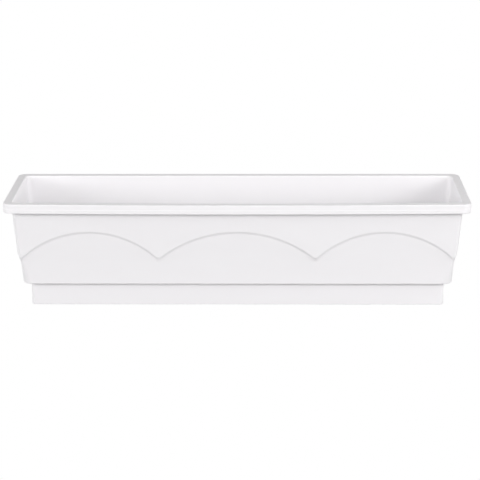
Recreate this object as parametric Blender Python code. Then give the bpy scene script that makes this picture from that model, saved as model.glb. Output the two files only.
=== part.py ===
"""Self-watering window-box planter: a moulded box with a reservoir plinth, and what it holds inside.

Metres, +Z up, +X along the box, -Y the front. The origin is on the floor under the middle of the box.
Each sub-part is one closed object; pieces that touch keep a gap of GAP.
"""

import math

import bmesh
import bpy
from mathutils import Vector

# Driving dimensions of the box
LENGTH = 0.750
WIDTH = 0.200
HEIGHT = 0.180
WALL = 0.0023
GAP = 0.0003

# Rim: flat on top, with a skirt that hangs outside the wall
RIM_FLAT = 0.0122
RIM_EDGE = 0.0014
RIM_WEB = 0.0026
SKIRT_DROP = 0.0152
RIM_CORNER = 0.0145

# Walls: how far they stand in from the rim's outer edge, and how they lean
WALL_SET_IN = 0.0119
WALL_LEAN = 0.085
PANEL_DEPTH = 0.0028
UPPER_CORNER = 0.0065
LOWER_CORNER = 0.0155
LOWER_SET_IN = 0.0249
KNEE_SET_IN = 0.0231
KNEE_BELOW_VALLEY = 0.004

# Scallop arcs on the walls, as (start, end) along the wall
VALLEY_Z = 0.084
ARC_RISE = 0.0445
ARC_EDGE = 0.0015
LONG_CORE = LENGTH / 2 - 0.0265
SHORT_CORE = WIDTH / 2 - 0.0265
TIP_INNER = 0.1245
TIP_OUTER = 0.1300
LONG_ARCS = ((-LONG_CORE, -TIP_OUTER), (-TIP_INNER, TIP_INNER), (TIP_OUTER, LONG_CORE))
SHORT_ARCS = ((-SHORT_CORE, SHORT_CORE),)
LONG_ARC_STEPS = 10
SHORT_ARC_STEPS = 8
CORNER_STEPS = 5

# Plinth: the water reservoir under the overhang
PLINTH_TOP = 0.0387
PLINTH_SET_IN = 0.0370
PLINTH_FOOT = 0.0020
FLOOR = 0.0030
LEDGE_Z = PLINTH_TOP + 0.0024
LEDGE_INNER = PLINTH_SET_IN + WALL
INNER_LOWER = LOWER_SET_IN + 0.0024

# Drain and overflow in the back of the plinth
PLUG_BORE = 0.0045
BOSS_RADIUS = 0.0075
BOSS_DEPTH = 0.0020
BACK_OUT = WIDTH / 2 - PLINTH_SET_IN
DRAIN_PLACE = (0.290, 0.0110)
OVERFLOW_PLACE = (-0.290, 0.0300)

# Separator plates, two alike, side by side on the ledge
PLATE_LENGTH = 0.3468
PLATE_WIDTH = 0.1444
PLATE_THICK = 0.0024
PLATE_CORNER = 0.0130
PLATE_Z = LEDGE_Z + GAP
PLATE_TOP = PLATE_Z + PLATE_THICK
PLATE_X = GAP + PLATE_LENGTH / 2

# Soil baskets, two in each plate: they hang by a flange and stand on the reservoir floor
BASKET_X = 0.118
BASKET_MOUTH = 0.044
BASKET_FOOT = 0.034
BASKET_WALL = 0.0018
BASKET_FLANGE = 0.050
FLANGE_RISE = 0.0016
BASKET_CORNER = 0.004
BASKET_HOLE = BASKET_MOUTH + 0.0012
BASKET_BOTTOM = FLOOR + GAP
BASKET_SLOT = (0.0036, 0.0220)
BASKET_SLOT_PITCH = 0.0090

# Slots in the plate
AIR_SLOT = (0.0200, 0.0032)
AIR_PITCH = (0.0380, 0.0230)
AIR_COUNT = (9, 5)
WICK_SLOT = (0.0340, 0.0056)
WICK_X = 0.058
WICK_Y = 0.014
RIB_Y = 0.034
RIB = (0.0020, 0.0080)
RIB_LENGTH = 0.300

# Tube port in each plate, and the two tubes that stand in it
PORT_Y = -0.0455
TUBE_OUT = 0.0140
TUBE_IN = 0.0122
COLLAR_OUT = 0.0168
COLLAR_RISE = 0.0080
COLLAR_TOP = PLATE_TOP + COLLAR_RISE
TUBE_FOOT = 0.0060
FLANGE_OUT = 0.0166
FLANGE_THICK = 0.0020
TUBE_SIDES = 28
NOTCH = (0.0060, 0.0100)

# Filler tube, the collar on its mouth, and the hinged cap
FILLER_TOP = 0.1555
MOUTH_LIP = 0.0015
MOUTH_IN = 0.0126
MOUTH_OUT = 0.0176
MOUTH_DEPTH = 0.0085
CAP_THICK = 0.0024
CAP_Z = FILLER_TOP + GAP
PIN_Y = PORT_Y + 0.0215
PIN_Z = CAP_Z + 0.0010
PIN_RADIUS = 0.0011
PIN_LENGTH = 0.0156
KNUCKLE_OUT = 0.0029
KNUCKLE_HALF = 0.0042
EAR_IN = 0.0046
EAR_OUT = 0.0078

# Level indicator
GUIDE_TOP = 0.1310
GUIDE_WEB = 0.0020
GUIDE_HOLE = 0.0022
WINDOW_TOP = 0.1630
WINDOW_WALL = 0.0016
SPIGOT = 0.0060
STRAINER_OUT = TUBE_IN - GAP
STRAINER_THICK = 0.0030
FLOAT_RADIUS = 0.0112
FLOAT_HEIGHT = 0.0160
FLOAT_BOTTOM = TUBE_FOOT + STRAINER_THICK + GAP
ROD_RADIUS = 0.0015
TIP_RADIUS = 0.0050
TIP_BOTTOM = GUIDE_TOP + 0.0012
TIP_HEIGHT = 0.0060

# Fleece wick strips
STRIP_WIDTH = 0.0300
STRIP_THICK = 0.0018
FLOOR_BEND = 0.0050
PLATE_BEND = 0.0024
STRIP_ON_PLATE = 0.0440
STRIP_ON_FLOOR = 0.0150

# Plugs
PLUG_HEAD = (0.0070, 0.0030)
PLUG_SHANK = PLUG_BORE - GAP
SEAL_THICK = 0.0012
SEAL_IN = PLUG_BORE + 0.0001
SEAL_OUT = 0.0066
PLUG_LENGTH = 0.0090

WHITE = (0.86, 0.855, 0.865, 1.0)
SEPARATOR_GREY = (0.55, 0.56, 0.57, 1.0)
TUBE_GREY = (0.72, 0.73, 0.74, 1.0)
FLEECE = (0.80, 0.79, 0.74, 1.0)
BLACK_RUBBER = (0.03, 0.03, 0.03, 1.0)
RED = (0.70, 0.04, 0.03, 1.0)
FOAM = (0.90, 0.60, 0.10, 1.0)
CLEAR = (0.85, 0.90, 0.92, 1.0)
STEEL = (0.60, 0.60, 0.62, 1.0)


def clear_scene():
    for old in list(bpy.data.objects):
        bpy.data.objects.remove(old, do_unlink=True)


def material(name, colour, roughness, metallic=0.0):
    made = bpy.data.materials.new(name)
    made.use_nodes = True
    shader = made.node_tree.nodes["Principled BSDF"]
    shader.inputs["Base Color"].default_value = colour
    shader.inputs["Roughness"].default_value = roughness
    shader.inputs["Metallic"].default_value = metallic
    return made


def finish_object(obj, made_of, smooth_angle=35.0):
    obj.data.materials.clear()
    obj.data.materials.append(made_of)
    obj.data.shade_smooth()
    obj.data.set_sharp_from_angle(angle=math.radians(smooth_angle))
    return obj


def object_from_bmesh(name, bm):
    bmesh.ops.recalc_face_normals(bm, faces=bm.faces)
    mesh = bpy.data.meshes.new(name)
    bm.to_mesh(mesh)
    bm.free()
    obj = bpy.data.objects.new(name, mesh)
    bpy.context.scene.collection.objects.link(obj)
    return obj


def loft(name, rings):
    """A closed solid through rings of equal point counts, capped at both ends."""
    bm = bmesh.new()
    rows = [[bm.verts.new(p) for p in ring] for ring in rings]
    count = len(rows[0])
    for low, high in zip(rows, rows[1:]):
        for i in range(count):
            j = (i + 1) % count
            bm.faces.new((low[i], low[j], high[j], high[i]))
    bm.faces.new(reversed(rows[0]))
    bm.faces.new(rows[-1])
    return object_from_bmesh(name, bm)


def turned(name, profile, centre, sides=TUBE_SIDES, axis="Z"):
    """A closed body turned from a closed profile of (radius, height) round an axis through centre."""
    bm = bmesh.new()
    rows = []
    for i in range(sides):
        angle = 2 * math.pi * i / sides
        rows.append([bm.verts.new(turned_point(r, h, angle, centre, axis)) for r, h in profile])
    count = len(profile)
    for i in range(sides):
        here, there = rows[i], rows[(i + 1) % sides]
        for j in range(count):
            k = (j + 1) % count
            bm.faces.new((here[j], there[j], there[k], here[k]))
    return object_from_bmesh(name, bm)


def turned_point(radius, height, angle, centre, axis):
    across, up = radius * math.cos(angle), radius * math.sin(angle)
    places = {"X": (height, across, up), "Y": (across, height, up), "Z": (across, up, height)}
    return Vector(centre) + Vector(places[axis])


def disc(name, radius, low, high, centre, sides=TUBE_SIDES, axis="Z"):
    """A plain round bar between two heights along its axis."""
    ends = []
    for h in (low, high):
        angles = [2 * math.pi * i / sides for i in range(sides)]
        ends.append([turned_point(radius, h, a, centre, axis) for a in angles])
    return loft(name, ends)


def block(name, low, high):
    corners = [(low[0], low[1]), (high[0], low[1]), (high[0], high[1]), (low[0], high[1])]
    return loft(name, [[(x, y, z) for x, y in corners] for z in (low[2], high[2])])


def combine(target, tool, operation):
    """Applies an exact Boolean to target and removes the tool."""
    step = target.modifiers.new(operation.lower(), "BOOLEAN")
    step.operation = operation
    step.solver = "EXACT"
    step.object = tool
    graph = bpy.context.evaluated_depsgraph_get()
    result = bpy.data.meshes.new_from_object(target.evaluated_get(graph))
    target.modifiers.remove(step)
    target.data = result
    bpy.data.objects.remove(tool, do_unlink=True)
    return target


def cut(target, tool):
    return combine(target, tool, "DIFFERENCE")


def join(target, tool):
    return combine(target, tool, "UNION")


def span(start, end, steps):
    return [start + (end - start) * i / steps for i in range(steps + 1)]


def arc_height(place, arcs):
    """Height of the scallop line at a place along a wall; between arcs it is the rounded valley tip."""
    for start, end in arcs:
        if start <= place <= end:
            half = (end - start) / 2
            radius = (half * half + ARC_RISE * ARC_RISE) / (2 * ARC_RISE)
            off = place - (start + end) / 2
            drop = radius - math.sqrt(radius * radius - off * off)
            return VALLEY_Z + ARC_RISE - drop
    return VALLEY_Z - 0.0015


def wall_places(arcs, steps):
    """Places along a wall: each arc in equal steps, and the middle of each tip between two arcs."""
    places = []
    for number, (start, end) in enumerate(arcs):
        places += span(start, end, steps)
        if number + 1 < len(arcs):
            places.append((end + arcs[number + 1][0]) / 2)
    return places


def stations():
    """Stations round the plan, anticlockwise from the front-left corner.

    Each is (core_x, core_y, normal_x, normal_y, scallop height): the core values are shares of the
    half-sizes of the rectangle on whose corners the rounded corners are centred.
    """
    found = []
    long_places = wall_places(LONG_ARCS, LONG_ARC_STEPS)
    short_places = wall_places(SHORT_ARCS, SHORT_ARC_STEPS)
    sides = [
        (long_places, LONG_ARCS, LONG_CORE, -90.0),
        (short_places, SHORT_ARCS, SHORT_CORE, 0.0),
        (long_places, LONG_ARCS, LONG_CORE, 90.0),
        (short_places, SHORT_ARCS, SHORT_CORE, 180.0),
    ]
    for places, arcs, core, facing in sides:
        normal = (round(math.cos(math.radians(facing))), round(math.sin(math.radians(facing))))
        for place in places:
            along = place / core
            core_x = along * -normal[1] if normal[0] == 0 else normal[0]
            core_y = along * normal[0] if normal[1] == 0 else normal[1]
            found.append((core_x, core_y, *normal, arc_height(place, arcs)))
        end_x, end_y = found[-1][0], found[-1][1]
        for step in range(1, CORNER_STEPS):
            angle = math.radians(facing + 90.0 * step / CORNER_STEPS)
            found.append((end_x, end_y, math.cos(angle), math.sin(angle), VALLEY_Z))
    return found


def ring(around, set_in, corner, height):
    """Points round the box at a distance in from the rim's outer edge."""
    core_x = LENGTH / 2 - set_in - corner
    core_y = WIDTH / 2 - set_in - corner
    return [(cx * core_x + nx * corner, cy * core_y + ny * corner, height) for cx, cy, nx, ny, _ in around]


def proud_set_in(height):
    """Set-in of the proud upper layer of the wall, which leans inwards on its way down."""
    return WALL_SET_IN + WALL_LEAN * (HEIGHT - height)


def scallop_ring(around, lift, extra):
    """Points that follow the scallop line, lifted by lift, extra further in than the proud layer."""
    points = []
    for cx, cy, nx, ny, line in around:
        height = line + lift
        radius = LENGTH / 2 - LONG_CORE - proud_set_in(height) - extra
        points.append((cx * LONG_CORE + nx * radius, cy * SHORT_CORE + ny * radius, height))
    return points


def planter_box():
    """The one moulding: plinth, overhang, walls with the scalloped layer, rim, and the inner skin."""
    around = stations()
    knee = VALLEY_Z - KNEE_BELOW_VALLEY
    web_under = HEIGHT - RIM_WEB
    top_set_in = proud_set_in(web_under)
    skirt_low = HEIGHT - SKIRT_DROP
    rings = [
        ring(around, PLINTH_SET_IN + PLINTH_FOOT, UPPER_CORNER - PLINTH_FOOT, 0.0),
        ring(around, PLINTH_SET_IN, UPPER_CORNER, PLINTH_FOOT),
        ring(around, PLINTH_SET_IN, UPPER_CORNER, PLINTH_TOP),
        ring(around, LOWER_SET_IN + 0.0008, LOWER_CORNER - 0.0008, PLINTH_TOP),
        ring(around, LOWER_SET_IN, LOWER_CORNER, PLINTH_TOP + 0.0008),
        ring(around, KNEE_SET_IN, LOWER_CORNER, knee),
        scallop_ring(around, -ARC_EDGE, PANEL_DEPTH),
        scallop_ring(around, ARC_EDGE, 0.0),
        ring(around, top_set_in, UPPER_CORNER, web_under),
        ring(around, WALL, RIM_CORNER - WALL, web_under),
        ring(around, WALL, RIM_CORNER - WALL, skirt_low),
        ring(around, 0.0, RIM_CORNER, skirt_low),
        ring(around, 0.0, RIM_CORNER, HEIGHT - RIM_EDGE),
        ring(around, RIM_EDGE, RIM_CORNER - RIM_EDGE, HEIGHT),
        ring(around, RIM_FLAT, UPPER_CORNER, HEIGHT),
        ring(around, WALL_SET_IN + WALL, UPPER_CORNER - WALL, HEIGHT - 0.0020),
        scallop_ring(around, ARC_EDGE, WALL),
        scallop_ring(around, -ARC_EDGE, PANEL_DEPTH + WALL),
        ring(around, KNEE_SET_IN + WALL, LOWER_CORNER - WALL, knee),
        ring(around, INNER_LOWER, LOWER_CORNER - WALL, LEDGE_Z),
        ring(around, LEDGE_INNER, UPPER_CORNER - WALL, LEDGE_Z),
        ring(around, LEDGE_INNER, UPPER_CORNER - WALL, FLOOR + 0.0015),
        ring(around, LEDGE_INNER + 0.0015, UPPER_CORNER - WALL - 0.0015, FLOOR),
    ]
    box = loft("planter_box", rings)
    for x, z in (DRAIN_PLACE, OVERFLOW_PLACE):
        inner = BACK_OUT - WALL
        join(box, disc("boss", BOSS_RADIUS, inner - BOSS_DEPTH, inner + WALL / 2, (x, 0, z), 16, "Y"))
        cut(box, disc("bore", PLUG_BORE, inner - 0.01, BACK_OUT + 0.01, (x, 0, z), 16, "Y"))
    return finish_object(box, material("white_plastic", WHITE, 0.35), 30.0)


def rounded_outline(half_x, half_y, corner, steps=4):
    points = []
    for facing, (sx, sy) in enumerate(((1, 1), (-1, 1), (-1, -1), (1, -1))):
        for step in range(steps + 1):
            angle = math.radians(90.0 * facing + 90.0 * step / steps)
            x = sx * (half_x - corner) + corner * math.cos(angle)
            y = sy * (half_y - corner) + corner * math.sin(angle)
            points.append((x, y))
    return points


def slab(name, outline, low, high, centre):
    """A flat plate of any outline between two heights, centred on a point of the plan."""
    return loft(name, [[(centre[0] + x, centre[1] + y, z) for x, y in outline] for z in (low, high)])


def square_rings(sizes, centre):
    """Rounded square rings from (width, height) pairs, all with the same count of points."""
    rings = []
    for width, z in sizes:
        outline = rounded_outline(width / 2, width / 2, BASKET_CORNER * width / BASKET_MOUTH, 2)
        rings.append([(centre[0] + x, centre[1] + y, z) for x, y in outline])
    return rings


def soil_basket(name, x, made_of):
    """A tapered, slotted basket with a flange round its open top."""
    seat = PLATE_TOP + GAP
    inner_mouth, inner_foot = BASKET_MOUTH - 2 * BASKET_WALL, BASKET_FOOT - 2 * BASKET_WALL
    sizes = [
        (BASKET_FOOT, BASKET_BOTTOM),
        (BASKET_MOUTH, seat),
        (BASKET_FLANGE, seat),
        (BASKET_FLANGE, seat + FLANGE_RISE),
        (inner_mouth, seat + FLANGE_RISE),
        (inner_foot, BASKET_BOTTOM + BASKET_WALL),
    ]
    basket = loft(name, square_rings(sizes, (x, 0)))
    width, rise = BASKET_SLOT
    low = BASKET_BOTTOM + BASKET_WALL + 0.003
    reach = BASKET_MOUTH / 2 + 0.005
    for number in (-1, 0, 1):
        off = number * BASKET_SLOT_PITCH
        cut(basket, block("slot", (x + off - width / 2, -reach, low), (x + off + width / 2, reach, low + rise)))
        cut(basket, block("slot", (x - reach, off - width / 2, low), (x + reach, off + width / 2, low + rise)))
    return finish_object(basket, made_of, 30.0)


def air_slot_places(x_of_plate):
    """Places of the aeration slots: a regular grid that leaves out the baskets, port and wicks."""
    kept = []
    for i in range(AIR_COUNT[0]):
        for j in range(AIR_COUNT[1]):
            x = (i - (AIR_COUNT[0] - 1) / 2) * AIR_PITCH[0]
            y = (j - (AIR_COUNT[1] - 1) / 2) * AIR_PITCH[1]
            near_basket = abs(abs(x) - BASKET_X) < BASKET_FLANGE / 2 + 0.011 and abs(y) < BASKET_FLANGE / 2
            near_port = abs(x) < COLLAR_OUT + 0.012 and abs(y - PORT_Y) < COLLAR_OUT + 0.003
            near_wick = abs(abs(x) - WICK_X) < 0.029 and abs(y - WICK_Y) < 0.010
            if not (near_basket or near_port or near_wick):
                kept.append((x_of_plate + x, y))
    return kept


def separator(name, x, made_of):
    """A false-bottom plate with its tube port, ribs, basket holes and slots."""
    outline = rounded_outline(PLATE_LENGTH / 2, PLATE_WIDTH / 2, PLATE_CORNER)
    plate = slab(name, outline, PLATE_Z, PLATE_TOP, (x, 0))
    for side in (-1, 1):
        y = side * RIB_Y
        low = (x - RIB_LENGTH / 2, y - RIB[0] / 2, PLATE_Z - RIB[1])
        high = (x + RIB_LENGTH / 2, y + RIB[0] / 2, PLATE_Z + PLATE_THICK / 2)
        join(plate, block("rib", low, high))
    join(plate, disc("collar", COLLAR_OUT, PLATE_Z + PLATE_THICK / 2, COLLAR_TOP, (x, PORT_Y, 0)))
    cut(plate, disc("port", TUBE_OUT + GAP, PLATE_Z - 0.02, COLLAR_TOP + 0.01, (x, PORT_Y, 0)))
    hole = rounded_outline(BASKET_HOLE / 2, BASKET_HOLE / 2, BASKET_CORNER, 2)
    for side in (-1, 1):
        place = (x + side * BASKET_X, 0)
        cut(plate, slab("hole", hole, PLATE_Z - 0.001, PLATE_TOP + 0.001, place))
    slots = [(sx, sy, *AIR_SLOT) for sx, sy in air_slot_places(x)]
    slots += [(x + side * WICK_X, WICK_Y, *WICK_SLOT) for side in (-1, 1)]
    for sx, sy, long, wide in slots:
        low = (sx - long / 2, sy - wide / 2, PLATE_Z - 0.001)
        cut(plate, block("slot", low, (sx + long / 2, sy + wide / 2, PLATE_TOP + 0.001)))
    return finish_object(plate, made_of, 30.0)


def strip_path():
    """Middle line of a wick in the YZ plane: along the floor, up through the slot, along the plate."""
    half = STRIP_THICK / 2
    floor_z = FLOOR + GAP + half
    plate_z = PLATE_TOP + GAP + half
    path = [(WICK_Y - FLOOR_BEND - STRIP_ON_FLOOR, floor_z)]
    for step in range(5):
        angle = math.radians(22.5 * step)
        path.append((WICK_Y - FLOOR_BEND * (1 - math.sin(angle)), floor_z + FLOOR_BEND * (1 - math.cos(angle))))
    for step in range(5):
        angle = math.radians(22.5 * step)
        path.append((WICK_Y + PLATE_BEND * (1 - math.cos(angle)), plate_z - PLATE_BEND * (1 - math.sin(angle))))
    path.append((WICK_Y + PLATE_BEND + STRIP_ON_PLATE, plate_z))
    return path


def wick_strip(name, x, made_of):
    """A flat fleece strip bent along its path."""
    path = strip_path()
    rings = []
    for i, (y, z) in enumerate(path):
        before, after = path[max(i - 1, 0)], path[min(i + 1, len(path) - 1)]
        along = Vector((after[0] - before[0], after[1] - before[1])).normalized()
        side = Vector((-along.y, along.x)) * (STRIP_THICK / 2)
        left, right = x - STRIP_WIDTH / 2, x + STRIP_WIDTH / 2
        rings.append(
            [
                (left, y + side.x, z + side.y),
                (right, y + side.x, z + side.y),
                (right, y - side.x, z - side.y),
                (left, y - side.x, z - side.y),
            ]
        )
    return finish_object(loft(name, rings), made_of)


def cut_notches(tube, x):
    """Water inlets round the foot of a tube."""
    width, rise = NOTCH
    for low, high in (
        ((x - 0.02, PORT_Y - width / 2), (x + 0.02, PORT_Y + width / 2)),
        ((x - width / 2, PORT_Y - 0.02), (x + width / 2, PORT_Y + 0.02)),
    ):
        bottom = TUBE_FOOT + STRAINER_THICK + 0.001
        cut(tube, block("notch", (*low, bottom), (*high, bottom + rise)))


def flange_profile():
    """Outside of a tube's lower end: the stretch in the port, and the flange that sits on the collar."""
    seat = COLLAR_TOP + GAP
    return [
        (TUBE_IN, TUBE_FOOT),
        (TUBE_OUT, TUBE_FOOT),
        (TUBE_OUT, seat),
        (FLANGE_OUT, seat),
        (FLANGE_OUT, seat + FLANGE_THICK),
        (TUBE_OUT, seat + FLANGE_THICK),
    ]


def filler_tube(x, made_of):
    top = FILLER_TOP - MOUTH_LIP - GAP
    profile = flange_profile() + [(TUBE_OUT, top), (TUBE_IN, top)]
    tube = turned("filler_tube", profile, (x, PORT_Y, 0))
    cut_notches(tube, x)
    return finish_object(tube, made_of)


def filler_collar(x, made_of):
    """The ring on the filler tube's mouth, with two ears for the cap's pin."""
    low, lip_low = FILLER_TOP - MOUTH_DEPTH, FILLER_TOP - MOUTH_LIP
    profile = [
        (TUBE_OUT + GAP, low),
        (MOUTH_OUT, low),
        (MOUTH_OUT, FILLER_TOP),
        (MOUTH_IN, FILLER_TOP),
        (MOUTH_IN, lip_low),
        (TUBE_OUT + GAP, lip_low),
    ]
    collar = turned("filler_collar", profile, (x, PORT_Y, 0))
    for side in (-1, 1):
        near, far = sorted((side * EAR_IN, side * EAR_OUT))
        ear_low = (x + near, PORT_Y + MOUTH_OUT - 0.0018, FILLER_TOP - 0.0040)
        join(collar, block("ear", ear_low, (x + far, PIN_Y, FILLER_TOP - 0.0004)))
        join(collar, disc("ear_end", KNUCKLE_OUT, near, far, (x, PIN_Y, PIN_Z), 16, "X"))
    cut(collar, disc("pin_bore", PIN_RADIUS + 0.0001, -0.02, 0.02, (x, PIN_Y, PIN_Z), 12, "X"))
    return finish_object(collar, made_of)


def filler_cap(x, made_of):
    """A round lid with a finger tab at the front and a knuckle at the back."""
    radius = MOUTH_OUT + 0.0002
    cap = disc("filler_cap", radius, CAP_Z, CAP_Z + CAP_THICK, (x, PORT_Y, 0))
    plug = MOUTH_IN - 2 * GAP
    join(cap, disc("spigot", plug, CAP_Z - 0.0020, CAP_Z + CAP_THICK / 2, (x, PORT_Y, 0)))
    tab = rounded_outline(0.006, 0.005, 0.003, 2)
    join(cap, slab("tab", tab, CAP_Z + 0.0002, CAP_Z + CAP_THICK - 0.0002, (x, PORT_Y - radius)))
    arm_low = (x - KNUCKLE_HALF, PORT_Y + radius - 0.004, CAP_Z + 0.0003)
    join(cap, block("arm", arm_low, (x + KNUCKLE_HALF, PIN_Y, CAP_Z + CAP_THICK - 0.0003)))
    join(cap, disc("knuckle", KNUCKLE_OUT, -KNUCKLE_HALF, KNUCKLE_HALF, (x, PIN_Y, PIN_Z), 16, "X"))
    cut(cap, disc("bore", PIN_RADIUS + GAP, -0.02, 0.02, (x, PIN_Y, PIN_Z), 12, "X"))
    return finish_object(cap, made_of)


def strainer(name, x, made_of):
    """A disc with a ring of holes that snaps into the foot of a tube."""
    base = disc(name, STRAINER_OUT, TUBE_FOOT, TUBE_FOOT + STRAINER_THICK, (x, PORT_Y, 0))
    for step in range(6):
        angle = math.radians(60.0 * step)
        place = (x + 0.0068 * math.cos(angle), PORT_Y + 0.0068 * math.sin(angle), 0)
        cut(base, disc("hole", 0.0022, 0.0, 0.02, place, 8))
    return finish_object(base, made_of)


def indicator_tube(x, made_of):
    profile = flange_profile() + [
        (TUBE_OUT, GUIDE_TOP),
        (TUBE_IN, GUIDE_TOP),
        (TUBE_IN, GUIDE_TOP - SPIGOT - 0.001),
        (GUIDE_HOLE, GUIDE_TOP - SPIGOT - 0.001),
        (GUIDE_HOLE, GUIDE_TOP - SPIGOT - 0.001 - GUIDE_WEB),
        (TUBE_IN, GUIDE_TOP - SPIGOT - 0.001 - GUIDE_WEB),
    ]
    tube = turned("indicator_tube", profile, (x, PORT_Y, 0))
    cut_notches(tube, x)
    return finish_object(tube, made_of)


def indicator_window(x, made_of):
    """A clear dome whose spigot stands in the tube, with a raised line for each end of the scale."""
    out, inner = TUBE_OUT, TUBE_OUT - WINDOW_WALL - 0.0006
    seat = GUIDE_TOP + GAP
    low_mark, high_mark = TIP_BOTTOM + TIP_HEIGHT / 2, TIP_BOTTOM + TIP_HEIGHT / 2 + 0.022
    profile = [(inner, GUIDE_TOP - SPIGOT), (TUBE_IN - GAP, GUIDE_TOP - SPIGOT), (TUBE_IN - GAP, seat)]
    profile += [(out - 0.0006, seat)]
    for mark in (low_mark, high_mark):
        profile += [(out - 0.0006, mark - 0.0007), (out, mark - 0.0004)]
        profile += [(out, mark + 0.0004), (out - 0.0006, mark + 0.0007)]
    dome_start = WINDOW_TOP - 0.004
    for step in range(5):
        angle = math.radians(22.5 * step)
        reach = out - 0.0006 - 0.004 + 0.004 * math.cos(angle)
        profile.append((reach, dome_start + 0.004 * math.sin(angle)))
    profile += [(0.0006, WINDOW_TOP), (0.0006, WINDOW_TOP - WINDOW_WALL)]
    profile += [(inner - 0.003, WINDOW_TOP - WINDOW_WALL), (inner, dome_start)]
    return finish_object(turned("indicator_window", profile, (x, PORT_Y, 0), 20), made_of)


def float_pieces(x, foam, steel, red):
    """The float, the rod that it carries and the red tip on the rod's top."""
    bore = ROD_RADIUS + GAP
    top = FLOAT_BOTTOM + FLOAT_HEIGHT
    blind = FLOAT_BOTTOM + 0.004
    body = disc("float_body", FLOAT_RADIUS, FLOAT_BOTTOM, top, (x, PORT_Y, 0))
    cut(body, disc("bore", bore, blind, top + 0.01, (x, PORT_Y, 0), 12))
    finish_object(body, foam)
    rod_top = TIP_BOTTOM + 0.004
    rod = disc("float_rod", ROD_RADIUS, blind + GAP, rod_top, (x, PORT_Y, 0), 12)
    finish_object(rod, steel)
    tip = disc("float_tip", TIP_RADIUS, TIP_BOTTOM, TIP_BOTTOM + TIP_HEIGHT, (x, PORT_Y, 0), 20)
    cut(tip, disc("bore", bore, TIP_BOTTOM - 0.01, rod_top + GAP, (x, PORT_Y, 0), 12))
    finish_object(tip, red)


def plug_pieces(stem, place, body_material, seal_material):
    """A push-in plug with a finger bar across its head, and the rubber ring under the head."""
    x, z = place
    seal_face = BACK_OUT + GAP
    head_face = seal_face + SEAL_THICK + GAP
    radius, thick = PLUG_HEAD
    plug = disc(stem, radius, head_face, head_face + thick, (x, 0, z), 20, "Y")
    shank_end = head_face - PLUG_LENGTH
    join(plug, disc("shank", PLUG_SHANK, shank_end, head_face + thick / 2, (x, 0, z), 16, "Y"))
    bar_low = (x - 0.0055, head_face + thick - 0.0005, z - 0.0012)
    join(plug, block("bar", bar_low, (x + 0.0055, head_face + thick + 0.0030, z + 0.0012)))
    finish_object(plug, body_material)
    ring_profile = [(SEAL_IN, seal_face), (SEAL_OUT, seal_face)]
    ring_profile += [(SEAL_OUT, seal_face + SEAL_THICK), (SEAL_IN, seal_face + SEAL_THICK)]
    seal = turned(stem + "_seal", ring_profile, (x, 0, z), 20, "Y")
    finish_object(seal, seal_material)


def main():
    clear_scene()
    grey = material("separator_grey", SEPARATOR_GREY, 0.50)
    tube_plastic = material("tube_plastic", TUBE_GREY, 0.40)
    fleece = material("fleece", FLEECE, 0.95)
    rubber = material("rubber", BLACK_RUBBER, 0.70)
    red = material("red_plastic", RED, 0.35)
    steel = material("steel", STEEL, 0.30, 1.0)
    planter_box()
    number = 1
    for name, x in (("separator_left", -PLATE_X), ("separator_right", PLATE_X)):
        separator(name, x, grey)
        for side in (-1, 1):
            wick_strip(f"wick_strip_{number}", x + side * WICK_X, fleece)
            soil_basket(f"soil_basket_{number}", x + side * BASKET_X, grey)
            number += 1
    filler_tube(-PLATE_X, tube_plastic)
    filler_collar(-PLATE_X, tube_plastic)
    strainer("filler_strainer", -PLATE_X, grey)
    filler_cap(-PLATE_X, material("cap_plastic", TUBE_GREY, 0.40))
    pin = disc("filler_cap_pin", PIN_RADIUS, -PIN_LENGTH / 2, PIN_LENGTH / 2, (-PLATE_X, PIN_Y, PIN_Z), 12, "X")
    finish_object(pin, steel)
    indicator_tube(PLATE_X, tube_plastic)
    strainer("indicator_strainer", PLATE_X, grey)
    indicator_window(PLATE_X, material("clear_plastic", CLEAR, 0.08))
    float_pieces(PLATE_X, material("float_foam", FOAM, 0.85), steel, red)
    plug_pieces("drain_plug", DRAIN_PLACE, grey, rubber)
    plug_pieces("overflow_plug", OVERFLOW_PLACE, grey, rubber)


main()
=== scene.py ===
"""Self-watering window-box planter: the finished surface of every piece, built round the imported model.

Metres, +Z up, +X along the box, -Y the front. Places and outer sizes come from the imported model; each class
keeps the sizes of its own details.
"""

import logging
import math
import random
from dataclasses import dataclass, field
from enum import Enum
from typing import Callable, Iterable, Sequence

import bmesh
import bpy
from mathutils import Matrix, Vector

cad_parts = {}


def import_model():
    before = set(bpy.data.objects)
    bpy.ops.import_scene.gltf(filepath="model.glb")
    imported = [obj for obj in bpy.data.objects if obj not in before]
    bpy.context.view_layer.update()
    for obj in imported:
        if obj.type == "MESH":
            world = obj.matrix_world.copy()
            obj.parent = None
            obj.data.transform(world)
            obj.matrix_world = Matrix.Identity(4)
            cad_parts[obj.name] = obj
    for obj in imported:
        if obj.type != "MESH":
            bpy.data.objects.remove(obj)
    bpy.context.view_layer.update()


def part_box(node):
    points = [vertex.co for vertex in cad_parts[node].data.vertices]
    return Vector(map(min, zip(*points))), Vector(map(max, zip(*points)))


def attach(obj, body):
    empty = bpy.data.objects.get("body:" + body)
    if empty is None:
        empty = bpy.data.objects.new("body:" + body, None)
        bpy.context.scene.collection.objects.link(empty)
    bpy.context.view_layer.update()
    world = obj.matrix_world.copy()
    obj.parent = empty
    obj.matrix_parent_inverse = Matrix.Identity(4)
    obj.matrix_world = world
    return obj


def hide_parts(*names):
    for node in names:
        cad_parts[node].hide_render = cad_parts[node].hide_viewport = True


LOG = logging.getLogger("planter")

Point = tuple[float, float, float]
Flat = tuple[float, float]
Bend = tuple[float, float, float]  # a place on a flat outline and the radius of the corner there
Colour = tuple[float, float, float, float]
Rings = list[list[Point]]
Node = bpy.types.Node
Socket = bpy.types.NodeSocket

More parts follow.
